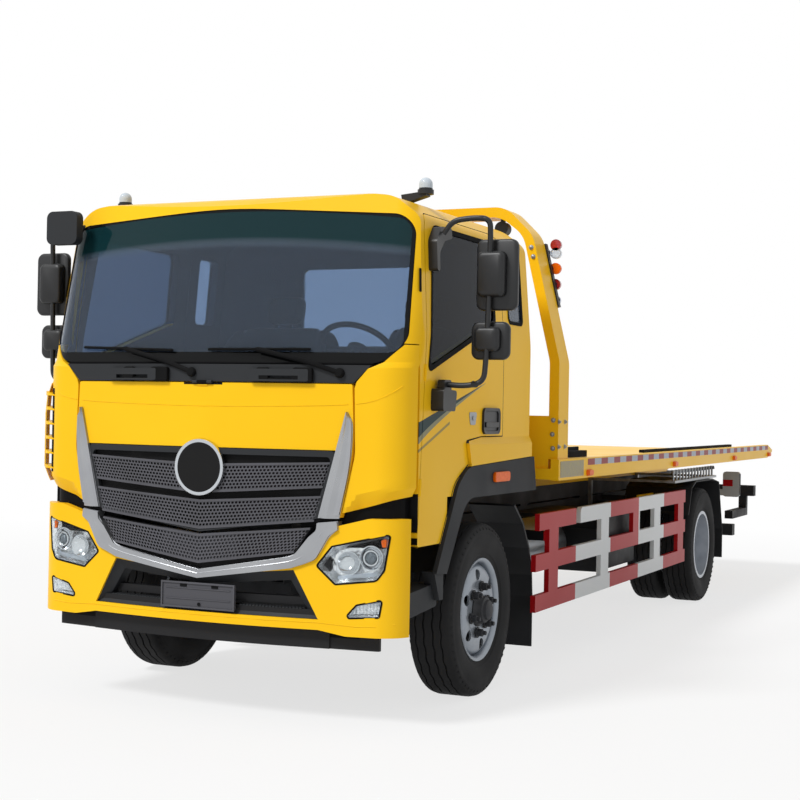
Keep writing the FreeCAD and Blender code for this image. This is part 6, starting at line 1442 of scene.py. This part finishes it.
def lock_shield(work):
    """The lock's bright shield and its barrel."""
    plate(work, rounded([(-0.345, 1.652, 0.012), (-0.325, 1.580, 0.018), (-0.250, 1.580, 0.018),
                         (-0.230, 1.652, 0.012)]), on_side, -0.001, 0.004)
    turned(work, [(0, 0.013), (0.008, 0.013), (0.010, 0.010)], on_side(-0.288, 1.618, 0.0), (1, 0, 0),
           sides=20)


def mirror_heads(work):
    """The two mirror heads with their domed backs, and their two feet on the door."""
    for low, high, thick in (((1.327, 2.193), (1.560, 2.572), 0.032),
                             ((1.303, 1.932), (1.520, 2.134), 0.032)):
        domed_box(work, low, high, 0.042, MIRROR_FACE, thick)
    for low, high, thick in (((1.348, 2.262), (1.503, 2.505), 0.062),
                             ((1.334, 1.975), (1.476, 2.106), 0.055)):
        domed_box(work, low, high, 0.03, MIRROR_FACE - 0.028, thick, edge=0.022)
    upper = rounded([(-0.885, 2.40, 0.012), (-0.850, 2.395, 0.012), (-0.838, 2.50, 0.03),
                     (-0.760, 2.566, 0.03), (-0.655, 2.590, 0.015), (-0.655, 2.648, 0.015),
                     (-0.80, 2.640, 0.04), (-0.872, 2.560, 0.04)])
    plate(work, upper, on_side, -0.004, 0.052)
    lower = rounded([(-0.888, 1.655), (-0.720, 1.655), (-0.700, 1.765), (-0.888, 1.775)], 0.018)
    plate(work, lower, on_side, -0.001, 0.072)
    plate(work, rounded([(-0.845, 1.76, 0.012), (-0.745, 1.76, 0.012), (-0.745, 1.822, 0.02),
                         (-0.845, 1.822, 0.02)]), on_side, 0.018, 0.058)


def mirror_tube(work):
    """The bent tube that carries both mirrors."""
    route = [(1.165, back(-0.80), 2.600), (1.215, back(-0.80), 2.668), (1.330, back(-0.785), 2.682),
             (1.418, back(-0.77), 2.676), (1.418, back(-0.765), 2.560), (1.412, back(-0.762), 2.20),
             (1.404, back(-0.765), 1.930), (1.396, back(-0.77), 1.812), (1.300, back(-0.785), 1.790),
             (1.185, back(-0.795), 1.798)]
    tube(work, bent(route, 0.07), 0.015, sides=14)


def mirror_panes(work):
    """The glass in the two mirrors."""
    for low, high in (((1.339, 2.205), (1.548, 2.560)), ((1.315, 1.944), (1.508, 2.122))):
        plate(work, box_corners(low, high, 0.034), across, MIRROR_FACE + 0.003, MIRROR_FACE - 0.002)


def doors():
    """What rides on the doors, and the small pieces beside them."""
    slot = rounded([(-1.022, 2.275), (-1.000, 2.275), (-0.985, 2.40), (-1.007, 2.40)], 0.008)
    lens = box_corners((0.001, 1.247), (0.250, 1.306), 0.02)
    rider = ("door_left", "door_right")
    heads = both(mirror_heads, "mirror_heads", mirror_plastic, rider, "dark_plastic", crease=50)
    for head, (side, _) in zip(heads, SIDES):
        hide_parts("mirrors_" + side)
    both(mirror_tube, "mirror_tube", mirror_plastic, rider, "dark_plastic")
    both(mirror_panes, "mirror_glass", chrome, rider, "chrome_rod")
    both(window_rubber, "window_rubber", black_rubber_and_shade, rider, "dark_plastic")
    both(quarter_rubber, "quarter_rubber", black_rubber_and_shade, "truck", "dark_plastic")
    both(door_handle, "door_handle", mirror_plastic, rider, "dark_plastic", edge=0.002)
    both(lock_shield, "lock_plate", galvanised, rider, "chrome_rod", edge=0.001)
    # The pillar's slot is a thin near-black piece: painted shade in the opening
    both(slab(slot, on_side, -0.002, 0.0025), "pillar_slot", black_rubber_and_shade, "truck", "dark_plastic")
    both(slab(lens, lambda y, z, level: Vector((1.165 + level, back(y), z)), -0.002, 0.018),
         "fender_indicator", amber_lens, "truck", "lamp_lens", edge=0.006)


doors()


# Seats: woven covers over foam, on plain boxes

def pad(work, middle, half, lean, seams):
    """A crowned pad: sections along its width that swell between the sewn channels and close at both ends."""
    rings = []
    for step in range(1, 60):
        share = step / 30 - 1
        swell = (1 - abs(share) ** 6) ** (1 / 3) - sum(0.07 * math.exp(-((abs(share) - seam) / 0.03) ** 2)
                                                       for seam in seams)
        ring = []
        for index in range(36):
            turn = 2 * math.pi * index / 36
            deep = math.copysign(abs(math.cos(turn)) ** 0.5, math.cos(turn)) * half.y * swell
            tall = math.copysign(abs(math.sin(turn)) ** 0.5, math.sin(turn)) * half.z * swell
            ring.append(middle + Vector((share * half.x, deep + lean * tall, tall)))
        rings.append(ring)
    lofted(work, rings)


def seats():
    """Two seats of three padded pieces each, their boxes and their headrests' stems."""
    bases = bmesh.new()
    stems = bmesh.new()
    for name, middle, half_width in (("left", 0.56, 0.24), ("right", -0.42, 0.43)):
        brick(bases, (middle - half_width + 0.06, back(-0.33), 1.24),
              (middle + half_width - 0.06, back(0.12), 1.423))
        for side in (-0.05, 0.05):
            tube(stems, [(middle + side, back(0.325), 2.08), (middle + side, back(0.36), 2.24)], 0.008,
                 sides=10)
        for part, place, half, lean, seams in (
                ("cushion", (middle, back(-0.135), 1.489), (half_width, 0.28, 0.069), 0.0, (0.0, 0.62)),
                ("backrest", (middle, back(0.243), 1.84), (half_width, 0.062, 0.33), 0.258, (0.62,)),
                ("headrest", (middle, back(0.365), 2.283), (0.128, 0.048, 0.09), 0.176, (0.75,))):
            work = bmesh.new()
            pad(work, Vector(place), Vector(half), lean, seams)
            piece = shown(f"seat_{part}_{name}", closed(work, part), seat_cloth, "truck", "seat_fabric",
                          crease=60)
    boxes = shown("seat_boxes", closed(bases, "boxes"), grained_plastic, "truck", "dark_plastic", edge=0.006)
    shown("headrest_stems", closed(stems, "stems"), chrome, "truck", "chrome_rod")
    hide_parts("seats")


seats()


# Bed: reflective tape, markers, bolts, the hoop's domes, and the levers under the deck

def rail_bracket(work):
    """The black bracket on the deck at the hoop's foot."""
    brick(work, (1.135, back(1.09), 1.3605), (1.185, back(1.75), 1.405))
    brick(work, (1.12, back(1.12), 1.3605), (1.135, back(1.72), 1.43))


def tie_channel(work):
    """The black lashing channel along the deck's edge."""
    brick(work, (1.15, back(3.2), 1.3605), (1.19, back(6.4), 1.384))


def side_plate(work):
    """The blank data plate with four ruled lines."""
    def place(y, z, level):
        """A point on the rail's outer face."""
        return Vector((RAIL_SIDE + level, back(y), z))

    plate(work, box_corners((0.975, 1.243), (1.468, 1.347), 0.004), place, -0.001, 0.002)
    for row in range(4):
        z = 1.262 + row * 0.021
        plate(work, box_corners((1.0, z), (1.44, z + 0.0025)), place, 0.001, 0.003)


def tape():
    """Red and silver patches of tape in turn along both rails."""
    count = int((TAPE_END - TAPE_START) / TAPE_PITCH)
    for name, first, film, slot in (("tape_red", 0, reflective_red, "red_paint"),
                                    ("tape_silver", 1, reflective_silver, "silver_plastic")):
        for side, way in SIDES:
            middles = [back(TAPE_START + (index + 0.5) * TAPE_PITCH) for index in range(first, count, 2)]
            places = [((way * (RAIL_SIDE + 0.0006), y, TAPE_HIGH), (way, 0, 0), UP) for y in middles]
            stamped(f"{name}_{side}", block_tool(), places, (TAPE_PITCH, TAPE_WIDE, 0.001), film, "bed", slot)


def bed():
    """The bed's tape, markers, bolts, domes, brackets and plates."""
    tape()
    markers = [((way * (RAIL_SIDE - 0.001), back(place), MARKER_HIGH), (way, 0, 0), UP)
               for _, way in SIDES for place in MARKERS_BACK]
    stamped("marker_lamps", marker_tool(), markers, (0.11, 0.044, 0.024), amber_lens, "bed", "lamp_lens")
    bolts = []
    for _, way in SIDES:
        bolts += [((way * 1.2355, back(place), z), (way, 0, 0), UP) for z in (1.44, 1.60)
                  for place in (0.975, 1.10)]
        bolts += [((way * x, back(HOOP_FRONT), z), AHEAD, UP)
                  for x, z in ((1.20, 1.43), (1.20, 1.61), (1.195, 1.52), (1.03, 2.72), (1.045, 2.66))]
    stamped("hoop_bolts", nut_tool(), bolts, (0.022, 0.022, 0.016), galvanised, "bed", "cast_metal")
    for colour, lens, heights in (("red", red_lens, (2.5, 2.76)), ("amber", amber_lens, (2.605,)),
                                  ("clear", clear_lens, (2.395, 2.705))):
        domes = [((way * 1.112, back(1.215), z), (0, 1, 0), UP) for _, way in SIDES for z in heights]
        stamped(f"hoop_domes_{colour}", dome_tool(), domes, (0.037, 0.037, 0.052), lens, "bed", "lamp_lens")
    both(rail_bracket, "rail_bracket", black_rubber_and_shade, "bed", "dark_plastic", edge=0.003)
    both(tie_channel, "tie_channel", black_rubber_and_shade, "bed", "dark_plastic", edge=0.003)
    both(side_plate, "data_plate", data_plate, "bed", "cast_metal")


def levers():
    """The yellow bar and the fourteen knobs of the control levers."""
    bar = [((0.865, back(4.98), 0.965), UP, (0, 1, 0))]
    stamped("lever_bar", block_tool(), bar, (0.02, 1.5, 0.02), yellow_enamel, "truck", "yellow_paint")
    knobs = [((1.175, back(LEVERS_BACK + index * LEVER_PITCH), LEVER_TOP), UP, (0, 1, 0))
             for index in range(14)]
    stamped("lever_knobs", dome_tool(), knobs, (0.011, 0.011, 0.03), rope_steel, "truck", "steel_grey")


bed()
levers()


# Stage, light and camera

def seen_straight(tree):
    """One for rays that end in the eye, straight or by a mirror or through glass."""
    rays = add(tree, "ShaderNodeLightPath").outputs
    camera_ray, glossy_ray, glass_ray = [Value(tree, rays[f"Is {kind} Ray"])
                                         for kind in ("Camera", "Glossy", "Transmission")]
    return camera_ray.most(glossy_ray).most(glass_ray)


def bare_tree(owner):
    """A world's or a material's node tree, emptied."""
    owner.use_nodes = True
    owner.node_tree.nodes.clear()
    return owner.node_tree


def white_world():
    """A white studio that the eye sees at full strength and the truck is lit by at less."""
    world = bpy.data.worlds.new("studio")
    bpy.context.scene.world = world
    tree = bare_tree(world)
    strength = seen_straight(tree) * (1.0 - WORLD_LIGHT) + WORLD_LIGHT
    sky = add(tree, "ShaderNodeBackground", {"Color": (1, 1, 1, 1), "Strength": strength.socket})
    add(tree, "ShaderNodeOutputWorld", {"Surface": sky.outputs["Background"]})


def paper_floor():
    """A paper floor that fades into the white world at a distance and keeps a soft shadow near the truck."""
    mesh = bpy.data.meshes.new("studio_floor")
    reach = 120
    mesh.from_pydata([(x, y, 0) for x, y in box_corners((-reach, -reach), (reach, reach))], [],
                     [(0, 1, 2, 3)])
    floor = bpy.data.objects.new("studio_floor", mesh)
    bpy.context.scene.collection.objects.link(floor)
    paper = bpy.data.materials.new("studio paper")
    tree = bare_tree(paper)
    matt = add(tree, "ShaderNodeBsdfDiffuse", {"Color": (0.8, 0.8, 0.8, 1)})
    glow = add(tree, "ShaderNodeEmission", {"Color": (1, 1, 1, 1), "Strength": 1.0})
    place = add(tree, "ShaderNodeTexCoord")
    from_truck = add(tree, "ShaderNodeVectorMath", {0: place.outputs["Object"]}, operation="LENGTH")
    fade = add(tree, "ShaderNodeMapRange", {"Value": from_truck.outputs["Value"], "From Min": 5.5,
                                            "From Max": 11.0, "To Min": 0.72, "To Max": 1.0})
    share = seen_straight(tree) * fade.outputs["Result"]
    mixed = add(tree, "ShaderNodeMixShader",
                {0: share.socket, 1: matt.outputs["BSDF"], 2: glow.outputs["Emission"]})
    add(tree, "ShaderNodeOutputMaterial", {"Surface": mixed.outputs["Shader"]})
    floor.data.materials.append(paper)


def key_light():
    """A soft sun from ahead of the truck and above it."""
    sun = bpy.data.lights.new("key", "SUN")
    sun.energy = SUN_LIGHT
    sun.angle = math.radians(14)
    key = bpy.data.objects.new("key", sun)
    key.rotation_mode = "QUATERNION"
    key.rotation_quaternion = Vector((2.2, 5.0, -6.0)).to_track_quat("-Z", "Y")
    bpy.context.scene.collection.objects.link(key)


def camera():
    """The photograph's own camera: where it stood, how it was turned, and its lens."""
    stood = (4.278, -11.599, 1.657)
    yaw, pitch, roll = (math.radians(turn) for turn in (24.43, -0.38, 1.07))
    ahead = Vector((-math.sin(yaw) * math.cos(pitch), math.cos(yaw) * math.cos(pitch), -math.sin(pitch)))
    right = Vector((math.cos(yaw), math.sin(yaw), 0))
    up = right.cross(ahead)
    turned_right = right * math.cos(roll) + up * math.sin(roll)
    turned_up = up * math.cos(roll) - right * math.sin(roll)
    lens = bpy.data.cameras.new("camera")
    lens.lens = 67.64
    lens.sensor_width = 36
    lens.clip_start, lens.clip_end = 0.1, 500
    eye = bpy.data.objects.new("camera", lens)
    turn = Matrix((turned_right, turned_up, -ahead)).transposed()
    eye.matrix_world = Matrix.Translation(stood) @ turn.to_4x4()
    bpy.context.scene.collection.objects.link(eye)
    bpy.context.scene.camera = eye


white_world()
paper_floor()
key_light()
camera()
bpy.context.scene.view_settings.view_transform = "Standard"
